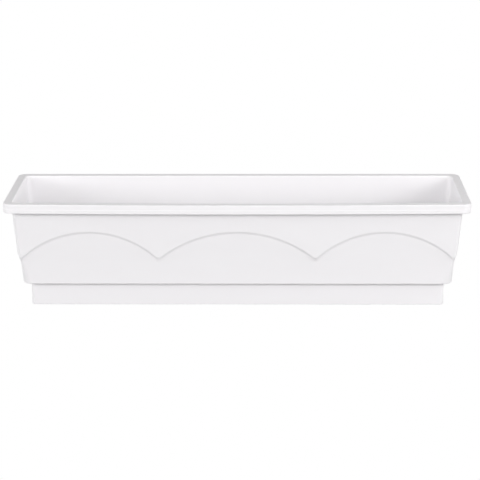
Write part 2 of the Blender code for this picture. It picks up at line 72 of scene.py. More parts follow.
CENTRE_HOLE = 0.0004  # where a turned piece closes over its axis
ROUND_END = 0.0001  # how much less than its half width a slot's end is rounded, so that its flat stays
PLASTIC_IOR = 1.49


# ---------------------------------------------------------------- named options


class Axis(Enum):
    """The direction that a turned piece's axis runs along."""

    X = "X"
    Y = "Y"
    Z = "Z"


class Cut(Enum):
    """What a Boolean step does with its tool."""

    TAKE = "DIFFERENCE"
    ADD = "UNION"


class Pattern(Enum):
    """The surface pattern that a plastic was moulded with."""

    SATIN = 1.0
    SPARKED = 2.2
    POLISHED = 0.35


# ---------------------------------------------------------------- node trees


class Tree:
    """A thin wrapper round a node tree that places and wires nodes."""

    def __init__(self, tree: bpy.types.NodeTree) -> None:
        """Wraps a tree.

        Args:
            tree: the material's tree or the group's tree.
        """
        self.tree = tree
        self.column = 0

    def add(self, kind: str, **settings: object) -> Node:
        """Adds a node.

        Args:
            kind: the node's Blender type.
            settings: properties to set on it.

        Returns:
            The new node.
        """
        node = self.tree.nodes.new(kind)
        node.location = (self.column * 180, 0)
        self.column += 1
        for name, value in settings.items():
            setattr(node, name, value)
        return node

    def link(self, source: Socket, target: Socket) -> None:
        """Wires one socket to another."""
        self.tree.links.new(source, target)

    def feed(self, value: object, target: Socket) -> None:
        """Wires a socket, or sets a plain value.

        Args:
            value: a socket, a number or a colour.
            target: the socket to feed.
        """
        if isinstance(value, Socket):
            self.link(value, target)
        else:
            target.default_value = value

    def math(self, operation: str, first: object, second: object, clamp: bool = False) -> Socket:
        """Adds a math step.

        Args:
            operation: the math node's operation.
            first: a socket or a number.
            second: a socket or a number.
            clamp: keeps the result from 0 to 1.

        Returns:
            The result's socket.
        """
        node = self.add("ShaderNodeMath", operation=operation, use_clamp=clamp)
        for slot, value in zip(node.inputs, (first, second)):
            self.feed(value, slot)
        return node.outputs[0]

    def mix(self, first: object, second: object, share: object, blend: str = "MIX") -> Socket:
        """Mixes two colours.

        Args:
            first: the colour, or its socket, where the share is 0.
            second: the colour, or its socket, where the share is 1.
            share: a number or its socket.
            blend: the mix node's way of blending.

        Returns:
            The mixed colour's socket.
        """
        node = self.add("ShaderNodeMix", data_type="RGBA", blend_type=blend)
        for label, value in (("A", first), ("B", second), ("Factor", share)):
            self.feed(value, node.inputs[label])
        return node.outputs["Result"]

    def stretched(self, where: Socket, scale: Point, turn: Point = (0.0, 0.0, 0.0)) -> Socket:
        """Stretches and turns a coordinate.

        Args:
            where: the coordinate's socket.
            scale: how much each axis is stretched.
            turn: the turn about each axis, in radians.

        Returns:
            The new coordinate's socket.
        """
        node = self.add("ShaderNodeMapping")
        node.inputs["Rotation"].default_value = turn
        node.inputs["Scale"].default_value = scale
        self.link(where, node.inputs["Vector"])
        return node.outputs["Vector"]

    def height_part(self, vector: Socket) -> Socket:
        """The Z part of a vector."""
        node = self.add("ShaderNodeSeparateXYZ")
        self.link(vector, node.inputs[0])
        return node.outputs["Z"]

    def noise(self, where: Socket, scale: object, detail: float = 2.0) -> Socket:
        """Adds a noise texture.

        Args:
            where: the coordinate's socket.
            scale: features per metre, or their socket.
            detail: octaves.

        Returns:
            The noise value, about 0.5 on average.
        """
        node = self.add("ShaderNodeTexNoise")
        node.inputs["Detail"].default_value = detail
        self.feed(scale, node.inputs["Scale"])
        self.link(where, node.inputs["Vector"])
        return node.outputs[0]

    def cells(self, where: Socket, scale: object) -> Socket:
        """Distances to the middles of round cells, so many to the metre."""
        node = self.add("ShaderNodeTexVoronoi")
        self.feed(scale, node.inputs["Scale"])
        self.link(where, node.inputs["Vector"])
        return node.outputs["Distance"]

    def spread(self, value: Socket, low: float, high: float) -> Socket:
        """Maps a 0 to 1 value to a range.

        Args:
            value: the value's socket.
            low: what 0 becomes.
            high: what 1 becomes.

        Returns:
            The mapped value's socket.
        """
        node = self.add("ShaderNodeMapRange")
        node.inputs["To Min"].default_value = low
        node.inputs["To Max"].default_value = high
        self.link(value, node.inputs["Value"])
        return node.outputs["Result"]

    def here(self) -> Socket:
        """The place on the piece, in metres, which stays with the piece as it moves."""
        return self.add("ShaderNodeTexCoord").outputs["Object"]


class Effect:
    """A shader node group that several finishes share, built once."""

    built: dict[str, bpy.types.NodeTree] = {}

    def __init__(self, name: str, inputs: dict[str, float], outputs: Sequence[str]) -> None:
        """Starts a group.

        Args:
            name: the group's name.
            inputs: its float inputs with their usual values.
            outputs: its float outputs.
        """
        self.group = bpy.data.node_groups.new(name, "ShaderNodeTree")
        sides = self.group.interface
        for label, usual in inputs.items():
            socket = sides.new_socket(name=label, in_out="INPUT", socket_type="NodeSocketFloat")
            socket.default_value = usual
        for label in outputs:
            sides.new_socket(name=label, in_out="OUTPUT", socket_type="NodeSocketFloat")
        self.tree = Tree(self.group)
        self.start = self.tree.add("NodeGroupInput")
        self.end = self.tree.add("NodeGroupOutput")

    @classmethod
    def place(cls, tree: Tree, maker: Callable[[], "Effect"], **values: float) -> Node:
        """Places a shared group in a material, building it the first time.

        Args:
            tree: the material's tree.
            maker: the function that builds the group.
            values: values for the group's inputs, with underscores for spaces.

        Returns:
            The group node.
        """
        if maker.__name__ not in cls.built:
            cls.built[maker.__name__] = maker().group
        node = tree.add("ShaderNodeGroup")
        node.node_tree = cls.built[maker.__name__]
        for label, value in values.items():
            node.inputs[label.replace("_", " ").capitalize()].default_value = value
        return node


def moulded_grain() -> Effect:
    """The fine spark-eroded grain of a mould's wall, with slow waves left by cooling.

    Returns:
        The group, with inputs Scale, Grain and Wave, and output Height.
    """
    effect = Effect("Moulded grain", {"Scale": 900.0, "Grain": 1.0, "Wave": 1.0}, ["Height"])
    tree, start = effect.tree, effect.start
    where = tree.here()
    fine = tree.noise(where, start.outputs["Scale"], 3.0)
    pits = tree.cells(where, tree.math("MULTIPLY", start.outputs["Scale"], 1.7))
    grain = tree.math("ADD", fine, tree.math("MULTIPLY", pits, 0.35))
    slow = tree.noise(where, 9.0, 1.0)
    height = tree.math("MULTIPLY", grain, start.outputs["Grain"])
    wave = tree.math("MULTIPLY", slow, tree.math("MULTIPLY", start.outputs["Wave"], 8.0))
    tree.link(tree.math("ADD", height, wave), effect.end.inputs["Height"])
    return effect


def edge_wear() -> Effect:
    """Where a corner has been rubbed: a mask along sharp edges, broken up by noise.

    Returns:
        The group, with inputs Reach and Strength, and output Mask.
    """
    effect = Effect("Edge wear", {"Reach": 0.0012, "Strength": 1.0}, ["Mask"])
    tree, start = effect.tree, effect.start
    rounded = tree.add("ShaderNodeBevel", samples=4)
    tree.link(start.outputs["Reach"], rounded.inputs["Radius"])
    facing = tree.add("ShaderNodeNewGeometry")
    match = tree.add("ShaderNodeVectorMath", operation="DOT_PRODUCT")
    tree.link(rounded.outputs["Normal"], match.inputs[0])
    tree.link(facing.outputs["Normal"], match.inputs[1])
    edge = tree.math("SUBTRACT", 1.0, match.outputs["Value"], clamp=True)
    broken = tree.spread(tree.noise(tree.here(), 160.0, 3.0), 1.0, 6.0)
    worn = tree.math("MULTIPLY", tree.math("MULTIPLY", edge, broken), start.outputs["Strength"], clamp=True)
    tree.link(worn, effect.end.inputs["Mask"])
    return effect


def settled_dust() -> Effect:
    """Where dust settles: a mask on faces that look up, thin and uneven.

    Returns:
        The group, with input Amount and output Mask.
    """
    effect = Effect("Settled dust", {"Amount": 0.2}, ["Mask"])
    tree, start = effect.tree, effect.start
    up = tree.height_part(tree.add("ShaderNodeNewGeometry").outputs["Normal"])
    upward = tree.math("POWER", tree.math("MAXIMUM", up, 0.0), 3.0)
    patchy = tree.spread(tree.noise(tree.here(), 34.0, 4.0), 0.3, 1.3)
    mask = tree.math("MULTIPLY", tree.math("MULTIPLY", upward, patchy), start.outputs["Amount"], clamp=True)
    tree.link(mask, effect.end.inputs["Mask"])
    return effect


def flow_marks() -> Effect:
    """Slow, faint streaks of tone where the melt flowed along the mould.

    Returns:
        The group, with input Contrast and output Shade, about 1 on average.
    """
    effect = Effect("Flow marks", {"Contrast": 0.02}, ["Shade"])
    tree, start = effect.tree, effect.start
    streaks = tree.noise(tree.stretched(tree.here(), (1.0, 3.0, 5.0)), 5.0, 3.0)
    centred = tree.math("SUBTRACT", streaks, 0.5)
    change = tree.math("MULTIPLY", centred, start.outputs["Contrast"])
    tree.link(tree.math("ADD", change, 1.0), effect.end.inputs["Shade"])
    return effect


def felted_fibres() -> Effect:
    """Crossed fine fibres pressed into a fleece.

    Returns:
        The group, with input Scale, and outputs Height and Tone.
    """
    effect = Effect("Felted fibres", {"Scale": 1.0}, ["Height", "Tone"])
    tree, start = effect.tree, effect.start
    where = tree.here()
    lays = ((0.4, (300.0, 2600.0, 900.0)), (-0.9, (2400.0, 260.0, 900.0)), (1.9, (700.0, 900.0, 2600.0)))
    layers = []
    for turn, scale in lays:
        lay = tree.stretched(where, scale, (turn, turn * 0.7, turn))
        weave = tree.noise(lay, start.outputs["Scale"])
        weave.node.inputs["Distortion"].default_value = 0.6
        layers.append(weave)
    height = tree.math("ADD", tree.math("ADD", layers[0], layers[1]), layers[2])
    tree.link(height, effect.end.inputs["Height"])
    tree.link(tree.math("DIVIDE", height, 3.0), effect.end.inputs["Tone"])
    return effect


# ---------------------------------------------------------------- finishes


@dataclass(frozen=True)
class Finish:
    """What every finish has: a name, a slot name, a colour and a roughness."""

    name: str
    slot: str
    colour: Colour
    roughness: float

    def begin(self) -> tuple[bpy.types.Material, Tree, Node]:
        """Starts the material.

        Returns:
            The material, its tree and its Principled BSDF.
        """
        made = bpy.data.materials.new(self.name)
        made.use_nodes = True
        shader = made.node_tree.nodes["Principled BSDF"]
        shader.inputs["Base Color"].default_value = self.colour
        shader.inputs["Roughness"].default_value = self.roughness
        return made, Tree(made.node_tree), shader

    def make(self) -> bpy.types.Material:
        """The plain material; each kind of finish adds its own nodes."""
        return self.begin()[0]


def relief(tree: Tree, shader: Node, height: Socket, depth: float) -> None:
    """Feeds a height into the shader's normal.

    Args:
        tree: the material's tree.
        shader: the Principled BSDF.
        height: the height's socket, about 0 to 1.
        depth: how high 1 stands, in metres.
    """
    bump = tree.add("ShaderNodeBump")
    bump.inputs["Distance"].default_value = depth
    tree.link(height, bump.inputs["Height"])
    tree.link(bump.outputs["Normal"], shader.inputs["Normal"])


@dataclass(frozen=True)
class MouldedPlastic(Finish):
    """Injection-moulded plastic with a mould grain, flow marks, rubbed edges and a little dust."""

    pattern: Pattern = Pattern.SATIN
    grain_scale: float = 900.0
    grain_depth: float = 0.00003
    wave: float = 1.0
    flow: float = 0.03
    wear: float = 0.5
    dust: float = 0.1
    dust_colour: Colour = (0.52, 0.49, 0.44, 1.0)
    dust_rough: float = 0.3
    rub_paler: float = 1.12
    rub_shown: float = 0.6
    rub_shine: float = 0.12
    patches: float = 60.0
    patch_rough: Flat = (0.05, 0.06)

    def make(self) -> bpy.types.Material:
        """Builds the plastic.

        Returns:
            The material.
        """
        made, tree, shader = self.begin()
        marks = Effect.place(tree, flow_marks, contrast=self.flow)
        worn = Effect.place(tree, edge_wear, strength=self.wear)
        dust = Effect.place(tree, settled_dust, amount=self.dust)
        grain = Effect.place(
            tree, moulded_grain, scale=self.grain_scale, grain=self.pattern.value, wave=self.wave
        )
        shade = tree.add("ShaderNodeCombineColor")
        for channel in shade.inputs:
            tree.link(marks.outputs["Shade"], channel)
        rubbed = tuple(min(1.0, c * self.rub_paler) for c in self.colour)
        tone = tree.mix(self.colour, shade.outputs[0], 1.0, "MULTIPLY")
        tone = tree.mix(tone, rubbed, tree.math("MULTIPLY", worn.outputs["Mask"], self.rub_shown))
        tone = tree.mix(tone, self.dust_colour, dust.outputs["Mask"])
        tree.link(tone, shader.inputs["Base Color"])
        less, more = self.patch_rough
        patchy = tree.noise(tree.here(), self.patches, 3.0)
        rough = tree.spread(patchy, self.roughness - less, self.roughness + more)
        shine = tree.math("MULTIPLY", worn.outputs["Mask"], self.rub_shine)
        dull = tree.math("MULTIPLY", dust.outputs["Mask"], self.dust_rough)
        rough = tree.math("ADD", tree.math("SUBTRACT", rough, shine), dull, clamp=True)
        tree.link(rough, shader.inputs["Roughness"])
        relief(tree, shader, grain.outputs["Height"], self.grain_depth)
        shader.inputs["IOR"].default_value = PLASTIC_IOR
        return made


@dataclass(frozen=True)
class ClearPlastic(Finish):
    """Clear moulded plastic with faint flow waves and rubbed edges."""

    rubbed: Colour = (0.95, 0.97, 0.98, 1.0)
    rub_rough: float = 0.25
    wave_depth: float = 0.00002

    def make(self) -> bpy.types.Material:
        """Builds the clear plastic.

        Returns:
            The material.
        """
        made, tree, shader = self.begin()
        shader.inputs["Transmission Weight"].default_value = 1.0
        shader.inputs["IOR"].default_value = PLASTIC_IOR
        grain = Effect.place(tree, moulded_grain, scale=300.0, grain=0.4, wave=1.5)
        worn = Effect.place(tree, edge_wear, strength=0.8).outputs["Mask"]
        rough = tree.spread(worn, self.roughness, self.roughness + self.rub_rough)
        tree.link(rough, shader.inputs["Roughness"])
        tree.link(tree.mix(self.colour, self.rubbed, worn), shader.inputs["Base Color"])
        relief(tree, shader, grain.outputs["Height"], self.wave_depth)
        return made


@dataclass(frozen=True)
class Fleece(Finish):
    """Needled white fleece: felted fibres, soft tone, water-stained where it hangs low."""

    stain: Colour = (0.50, 0.47, 0.38, 1.0)
    damp_below: float = 0.030
    soaked_share: float = 0.3
    pile: float = 0.0007
    sheen: Flat = (0.4, 0.6)

    def make(self) -> bpy.types.Material:
        """Builds the fleece.

        Returns:
            The material.
        """
        made, tree, shader = self.begin()
        fibres = Effect.place(tree, felted_fibres, scale=1.0)
        damp = tree.add("ShaderNodeMapRange", interpolation_type="SMOOTHSTEP")
        damp.inputs["From Min"].default_value = self.damp_below
        damp.inputs["From Max"].default_value = self.damp_below * self.soaked_share
        tree.link(tree.height_part(tree.here()), damp.inputs["Value"])
        blotches = tree.spread(tree.noise(tree.here(), 260.0), 0.2, 1.0)
        ragged = tree.math("MULTIPLY", damp.outputs["Result"], blotches)
        dark = tree.spread(fibres.outputs["Tone"], 0.30, -0.05)
        tone = tree.mix(self.colour, self.stain, tree.math("ADD", ragged, dark, clamp=True))
        tree.link(tone, shader.inputs["Base Color"])
        relief(tree, shader, fibres.outputs["Height"], self.pile)
        for label, value in zip(("Sheen Weight", "Sheen Roughness"), self.sheen):
            shader.inputs[label].default_value = value
        return made


@dataclass(frozen=True)
class SoftRubber(Finish):
    """Matt rubber with a bloom in uneven patches."""

    bloom: Colour = (0.10, 0.10, 0.10, 1.0)
    grain_depth: float = 0.00004

    def make(self) -> bpy.types.Material:
        """Builds the rubber.

        Returns:
            The material.
        """
        made, tree, shader = self.begin()
        grain = Effect.place(tree, moulded_grain, scale=1600.0, grain=1.2, wave=0.2)
        cloud = tree.spread(tree.noise(tree.here(), 180.0, 4.0), -0.5, 1.0)
        tree.link(tree.mix(self.colour, self.bloom, cloud), shader.inputs["Base Color"])
        relief(tree, shader, grain.outputs["Height"], self.grain_depth)
        return made


@dataclass(frozen=True)
class CellFoam(Finish):
    """Closed-cell foam: tight round cells, with painted shade darkening each cell towards its pits."""

    cells: float = 1400.0
    cell_depth: float = 0.00025
    pit_shade: float = 0.6

    def make(self) -> bpy.types.Material:
        """Builds the foam.

        Returns:
            The material.
        """
        made, tree, shader = self.begin()
        cell = tree.cells(tree.here(), self.cells)
        # painted shade: the colour is darkened towards each cell's edge, where the pits lie
        dark = tuple(c * self.pit_shade for c in self.colour[:3]) + (1.0,)
        tree.link(tree.mix(self.colour, dark, tree.spread(cell, 0.0, 0.5)), shader.inputs["Base Color"])
        relief(tree, shader, tree.math("SUBTRACT", 1.0, cell), self.cell_depth)
        return made


@dataclass(frozen=True)
class DrawnSteel(Finish):
    """Drawn stainless wire: fine scratches along its length."""

    scratches: Point = (60.0, 3000.0, 60.0)
    scratch_depth: float = 0.00001

    def make(self) -> bpy.types.Material:
        """Builds the steel.

        Returns:
            The material.
        """
        made, tree, shader = self.begin()
        shader.inputs["Metallic"].default_value = 1.0
        lines = tree.noise(tree.stretched(tree.here(), self.scratches), 1.0, 3.0)
        rough = tree.spread(lines, self.roughness - 0.08, self.roughness + 0.12)
        tree.link(rough, shader.inputs["Roughness"])
        relief(tree, shader, lines, self.scratch_depth)
        return made


@dataclass(frozen=True)
class StudioFloor(Finish):
    """The seamless floor: bright white to look at, but it bounces less light back up."""

    glow: float = 1.0
    bounce: float = 0.35

    def make(self) -> bpy.types.Material:
        """Builds the floor.

        Returns:
            The material.
        """
        made, tree, shader = self.begin()
        seen = tree.add("ShaderNodeLightPath").outputs["Is Camera Ray"]
        grey = (self.bounce, self.bounce, self.bounce, 1.0)
        tree.link(tree.mix(grey, (0.0, 0.0, 0.0, 1.0), seen), shader.inputs["Base Color"])
        shader.inputs["Emission Color"].default_value = self.colour
        tree.link(tree.math("MULTIPLY", seen, self.glow), shader.inputs["Emission Strength"])
        shader.inputs["Specular IOR Level"].default_value = 0.0
        return made


WHITE_WALL = MouldedPlastic(
    "White polypropylene", "white_plastic", (0.918, 0.903, 0.920, 1.0), 0.40,
    grain_scale=1100.0, grain_depth=0.000018, flow=0.02, wear=0.35, dust=0.05,
)
GREY_PLATE = MouldedPlastic(
    "Grey polypropylene", "separator_plastic", (0.335, 0.345, 0.355, 1.0), 0.48,
    pattern=Pattern.SPARKED, grain_depth=0.00006, flow=0.16, wear=0.9, dust=0.24,
)
PALE_TUBE = MouldedPlastic(
    "Pale grey polypropylene", "tube_plastic", (0.61, 0.62, 0.63, 1.0), 0.36,
    grain_depth=0.00002, flow=0.05, wear=0.6, dust=0.05,
)
PALE_CAP = MouldedPlastic(
    "Pale grey cap", "cap_plastic", (0.55, 0.57, 0.585, 1.0), 0.34,
    pattern=Pattern.SPARKED, grain_depth=0.00002, flow=0.04, wear=0.7, dust=0.08,
)
RED_TIP = MouldedPlastic(
    "Red tip", "red_plastic", (0.62, 0.018, 0.014, 1.0), 0.28,
    pattern=Pattern.POLISHED, grain_depth=0.00001, flow=0.05, wear=0.5, dust=0.02,
)
CLEAR_DOME = ClearPlastic("Clear dome", "clear_plastic", (0.93, 0.96, 0.97, 1.0), 0.04)
WHITE_FLEECE = Fleece("White fleece", "fleece", (0.80, 0.79, 0.745, 1.0), 0.95)
BLACK_SEAL = SoftRubber("Black rubber", "rubber", (0.022, 0.022, 0.023, 1.0), 0.62)
FLOAT_FOAM = CellFoam("Orange foam", "float_foam", (0.83, 0.40, 0.06, 1.0), 0.80)
WIRE = DrawnSteel("Drawn steel", "steel", (0.60, 0.60, 0.61, 1.0), 0.28)
FLOOR = StudioFloor("Seamless floor", "", (1.0, 1.0, 1.0, 1.0), 0.90)


# ---------------------------------------------------------------- shapes


class Piece:
    """One visible piece: a Blender object with the steps a mould maker would take on it."""

    def __init__(self, obj: bpy.types.Object) -> None:
        """Wraps an object."""
        self.obj = obj

    @classmethod
    def from_rows(cls, name: str, rows: Sequence[Sequence[Point]], closed: bool = False) -> "Piece":
        """A solid lofted through rings of equal point counts.

        Args:
            name: the piece's name.
            rows: the rings, in order.
            closed: joins the last ring to the first; otherwise both ends are capped.

        Returns:
            The piece.
        """
        bm = bmesh.new()
        rings = [[bm.verts.new(p) for p in row] for row in rows]
        count = len(rings[0])
        pairs = list(zip(rings, rings[1:]))
        if closed:
            pairs.append((rings[-1], rings[0]))
        for low, high in pairs:
            for i in range(count):
                j = (i + 1) % count
                bm.faces.new((low[i], low[j], high[j], high[i]))
        if not closed:
            bm.faces.new(list(reversed(rings[0])))
            bm.faces.new(rings[-1])
        return cls.from_bmesh(name, bm)

    @classmethod
    def from_bmesh(cls, name: str, bm: bmesh.types.BMesh) -> "Piece":
        """Turns a bmesh into a linked object with its faces pointing out, and frees the bmesh."""
        bmesh.ops.recalc_face_normals(bm, faces=bm.faces)
        mesh = bpy.data.meshes.new(name)
        bm.to_mesh(mesh)
        bm.free()
        obj = bpy.data.objects.new(name, mesh)
        bpy.context.scene.collection.objects.link(obj)
        return cls(obj)

    @classmethod
    def merged(cls, name: str, parts: Iterable["Piece"]) -> "Piece":
        """Puts several separate solids in one mesh, as one tool for a Boolean.

        Args:
            name: the new piece's name.
            parts: the solids, which are used up.

        Returns:
            The piece.
        """
        bm = bmesh.new()
        for part in parts:
            bm.from_mesh(part.obj.data)
            bpy.data.objects.remove(part.obj, do_unlink=True)
        return cls.from_bmesh(name, bm)

    def apply(self) -> "Piece":
        """Makes the modifiers' result the piece's own mesh."""
        graph = bpy.context.evaluated_depsgraph_get()
        result = bpy.data.meshes.new_from_object(self.obj.evaluated_get(graph))
        self.obj.modifiers.clear()
        self.obj.data = result
        return self

    def use(self, tool: "Piece", how: Cut) -> "Piece":
        """Cuts with or adds another solid, which is used up.

        Args:
            tool: the other solid.
            how: whether to take it away or add it.

        Returns:
            This piece.
        """
        step = self.obj.modifiers.new("step", "BOOLEAN")
        step.operation = how.value
        step.solver = "EXACT"
        step.object = tool.obj
        self.apply()
        bpy.data.objects.remove(tool.obj, do_unlink=True)
        return self

    def cut(self, tool: "Piece") -> "Piece":
        """Takes a solid away."""
        return self.use(tool, Cut.TAKE)

    def add(self, tool: "Piece") -> "Piece":
        """Joins a solid on."""
        return self.use(tool, Cut.ADD)

    def soften(self, width: float, segments: int = 2, angle: float = 40.0) -> "Piece":
        """Rounds every sharp edge.

        Args:
            width: how far the rounding reaches from the edge.
            segments: faces across the rounding.
            angle: edges sharper than this many degrees are rounded.

        Returns:
            This piece.
        """
        weld = self.obj.modifiers.new("weld", "WELD")
        weld.merge_threshold = 0.00001
        step = self.obj.modifiers.new("soften", "BEVEL")
        step.width = width
        step.segments = segments
        step.limit_method = "ANGLE"
        step.angle_limit = math.radians(angle)
        step.miter_outer = "MITER_ARC"
        step.use_clamp_overlap = True
        return self.apply()

    def shade(self, angle: float = 35.0) -> "Piece":
        """Shades the piece smooth, with flat faces kept flat by weighting their normals."""
        mesh = self.obj.data
        mesh.shade_smooth()
        mesh.set_sharp_from_angle(angle=math.radians(angle))
        step = self.obj.modifiers.new("normals", "WEIGHTED_NORMAL")
        step.keep_sharp = True
        step.weight = 90
        return self

    def wear(self, finish: Finish, body: str, *nodes: str) -> bpy.types.Object:
        """Gives the piece its finish and its place in the frame.

        Args:
            finish: its finish.
            body: the body it moves with.
            nodes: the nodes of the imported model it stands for.

        Returns:
            The object.
        """
        self.obj.data.materials.clear()
        self.obj.data.materials.append(Palette.get(finish))
        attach(self.obj, body)
        if nodes:
            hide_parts(*nodes)
        LOG.info("%s rides on %s: %d faces", self.obj.name, body, len(self.obj.data.polygons))
        return self.obj


class Palette:
    """Makes each finish's material once."""

    made: dict[str, bpy.types.Material] = {}

    @classmethod
    def get(cls, finish: Finish) -> bpy.types.Material:
        """The finish's material.

        Args:
            finish: the finish.

        Returns:
            Its material, built the first time it is asked for.
        """
        if finish.name not in cls.made:
            cls.made[finish.name] = finish.make()
        return cls.made[finish.name]


def turned_point(radius: float, height: float, angle: float, centre: Point, axis: Axis) -> Point:
    """A point of a turned piece.

    Args:
        radius: distance from the axis.
        height: place along the axis.
        angle: angle round the axis, in radians.
        centre: a point on the axis.
        axis: the axis's direction.

    Returns:
        The point.
    """
    across, up = radius * math.cos(angle), radius * math.sin(angle)
    place = {Axis.X: (height, across, up), Axis.Y: (across, height, up), Axis.Z: (across, up, height)}[axis]
    return tuple(c + p for c, p in zip(centre, place))


def fillet(outline: Sequence[Bend], steps: int = 4, closed: bool = True) -> list[Flat]:
    """Rounds the corners of an outline.

    Args:
        outline: its bends.
        steps: segments in each rounded corner.
        closed: whether the last point joins the first.

    Returns:
        The rounded outline's points.
    """
    points: list[Flat] = []
    count = len(outline)
    for i, (x, y, radius) in enumerate(outline):
        if radius <= 0 or (not closed and i in (0, count - 1)):
            points.append((x, y))
            continue
        here = Vector((x, y))
        before = Vector(outline[i - 1][:2]) - here
        after = Vector(outline[(i + 1) % count][:2]) - here
        half = before.angle(after) / 2
        reach = min(radius / math.tan(half), before.length * 0.49, after.length * 0.49)
        start, end = here + before.normalized() * reach, here + after.normalized() * reach
        middle = here + (before.normalized() + after.normalized()).normalized() * (reach / math.cos(half))
        size = reach * math.tan(half)
        first, last = start - middle, end - middle
        sweep = first.angle_signed(last)
        for step in range(steps + 1):
            turned_by = -sweep * step / steps
            cos, sin = math.cos(turned_by), math.sin(turned_by)
            arm = Vector((first.x * cos - first.y * sin, first.x * sin + first.y * cos)).normalized() * size
            points.append((middle.x + arm.x, middle.y + arm.y))
    return points


def turned(
    name: str,
    profile: Sequence[Bend],
    centre: Point,
    sides: int = 72,
    axis: Axis = Axis.Z,
    steps: int = 3,
) -> Piece:
    """A ring-shaped piece turned from a closed profile with rounded corners.

    Args:
        name: the piece's name.
        profile: (radius, height, corner radius) points.
        centre: a point on the axis.
        sides: faces round the axis.
        axis: the axis's direction.
        steps: segments in each rounded corner.

    Returns:
        The piece.
    """
    outline = fillet(profile, steps)
    angles = [2 * math.pi * i / sides for i in range(sides)]
    rows = [[turned_point(r, h, a, centre, axis) for r, h in outline] for a in angles]
    return Piece.from_rows(name, rows, closed=True)


def spindle(
    name: str,
    profile: Sequence[Bend],
    centre: Point,
    sides: int = 48,
    axis: Axis = Axis.Z,
    steps: int = 3,
) -> Piece:
    """A solid round piece turned from an open profile, capped flat at both ends.

    Args:
        name: the piece's name.
        profile: (radius, height, corner radius) points from one end to the other.
        centre: a point on the axis.
        sides: faces round the axis.
        axis: the axis's direction.
        steps: segments in each rounded corner.

    Returns:
        The piece.
    """
    outline = fillet(profile, steps, closed=False)
    angles = [2 * math.pi * i / sides for i in range(sides)]
    rows = [[turned_point(r, h, a, centre, axis) for a in angles] for r, h in outline]
    return Piece.from_rows(name, rows)


def pole(
    name: str, radius: float, ends: Flat, centre: Point, sides: int = 48, axis: Axis = Axis.Z
) -> Piece:
    """A plain cylinder, for cutting or joining.

    Args:
        name: the piece's name.
        radius: its radius.
        ends: the places of its two ends along the axis.
        centre: a point on the axis.
        sides: faces round the axis.
        axis: the axis's direction.

    Returns:
        The piece.
    """
    return spindle(name, [(radius, end, 0.0) for end in ends], centre, sides, axis)


def circle_places(centre: Point, reach: float, count: int, axis: Axis = Axis.Z) -> list[Point]:
    """Places at even turns on a circle round an axis through the centre."""
    return [turned_point(reach, 0.0, math.tau * i / count, centre, axis) for i in range(count)]


def bar(name: str, section: Sequence[Flat], centre: Point, ends: Flat, axis: Axis) -> Piece:
    """A straight bar of any section along X or Y.

    Args:
        name: the piece's name.
        section: its section, as (across, up).
        centre: the point its section and its ends are measured from.
        ends: the places of its two ends along the axis.
        axis: the axis's direction.

    Returns:
        The piece.
    """
    x, y, z = centre
    if axis is Axis.X:
        rows = [[(x + end, y + u, z + v) for u, v in section] for end in ends]
    else:
        rows = [[(x + u, y + end, z + v) for u, v in section] for end in ends]
    return Piece.from_rows(name, rows)


def rounded_rectangle(half_x: float, half_y: float, corner: float, steps: int = 6) -> list[Flat]:
    """The outline of a rectangle with round corners, centred on the origin."""
    square = [(half_x, half_y), (-half_x, half_y), (-half_x, -half_y), (half_x, -half_y)]
    return fillet([(x, y, corner) for x, y in square], steps)


def round_ended(long: float, wide: float, steps: int) -> list[Flat]:
    """The outline of a slot with round ends, longer along its first axis."""
    return rounded_rectangle(long / 2, wide / 2, wide / 2 - ROUND_END, steps)


def prism(
    name: str, outline: Sequence[Flat], low: float, high: float, centre: Flat = (0.0, 0.0)
) -> Piece:
    """A flat-topped solid of any outline.

    Args:
        name: the piece's name.
        outline: its plan.
        low: its underside.
        high: its top.
        centre: where the outline's origin goes.

    Returns:
        The piece.
    """
    rows = [[(centre[0] + x, centre[1] + y, z) for x, y in outline] for z in (low, high)]
    return Piece.from_rows(name, rows)


def block(name: str, low: Point, high: Point) -> Piece:
    """A box between two corners, for cutting or joining."""
    plan = [(low[0], low[1]), (high[0], low[1]), (high[0], high[1]), (low[0], high[1])]
    return prism(name, plan, low[2], high[2])


def eased_share(value: float, low: float, high: float) -> float:
    """How far a value is from low to high, from 0 to 1, with a smooth start and end."""
    share = max(0.0, min(1.0, (value - low) / (high - low)))
    return share * share * (3 - 2 * share)


def middle(node: str) -> Vector:
    """The middle of a node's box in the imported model."""
    low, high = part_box(node)
    return (low + high) / 2


def round_size(node: str) -> tuple[float, float, float]:
    """The radius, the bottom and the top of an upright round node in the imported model."""
    low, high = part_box(node)
    return (high.x - low.x) / 2, low.z, high.z


# ---------------------------------------------------------------- the box


@dataclass(frozen=True)
class Turn:
    """A corner of the box's wall section: how far in from the rim's edge, how high, the plan's corner radius
    there, and the radius that rounds the turn."""

    set_in: float
    height: float
    corner: float
    radius: float = 0.0


@dataclass(frozen=True)
class Station:
    """A column of points round the plan: its share of the core rectangle, its outward normal, and the height
    of the scallop line there."""

    core_x: float
    core_y: float
    normal_x: float
    normal_y: float
    line: float


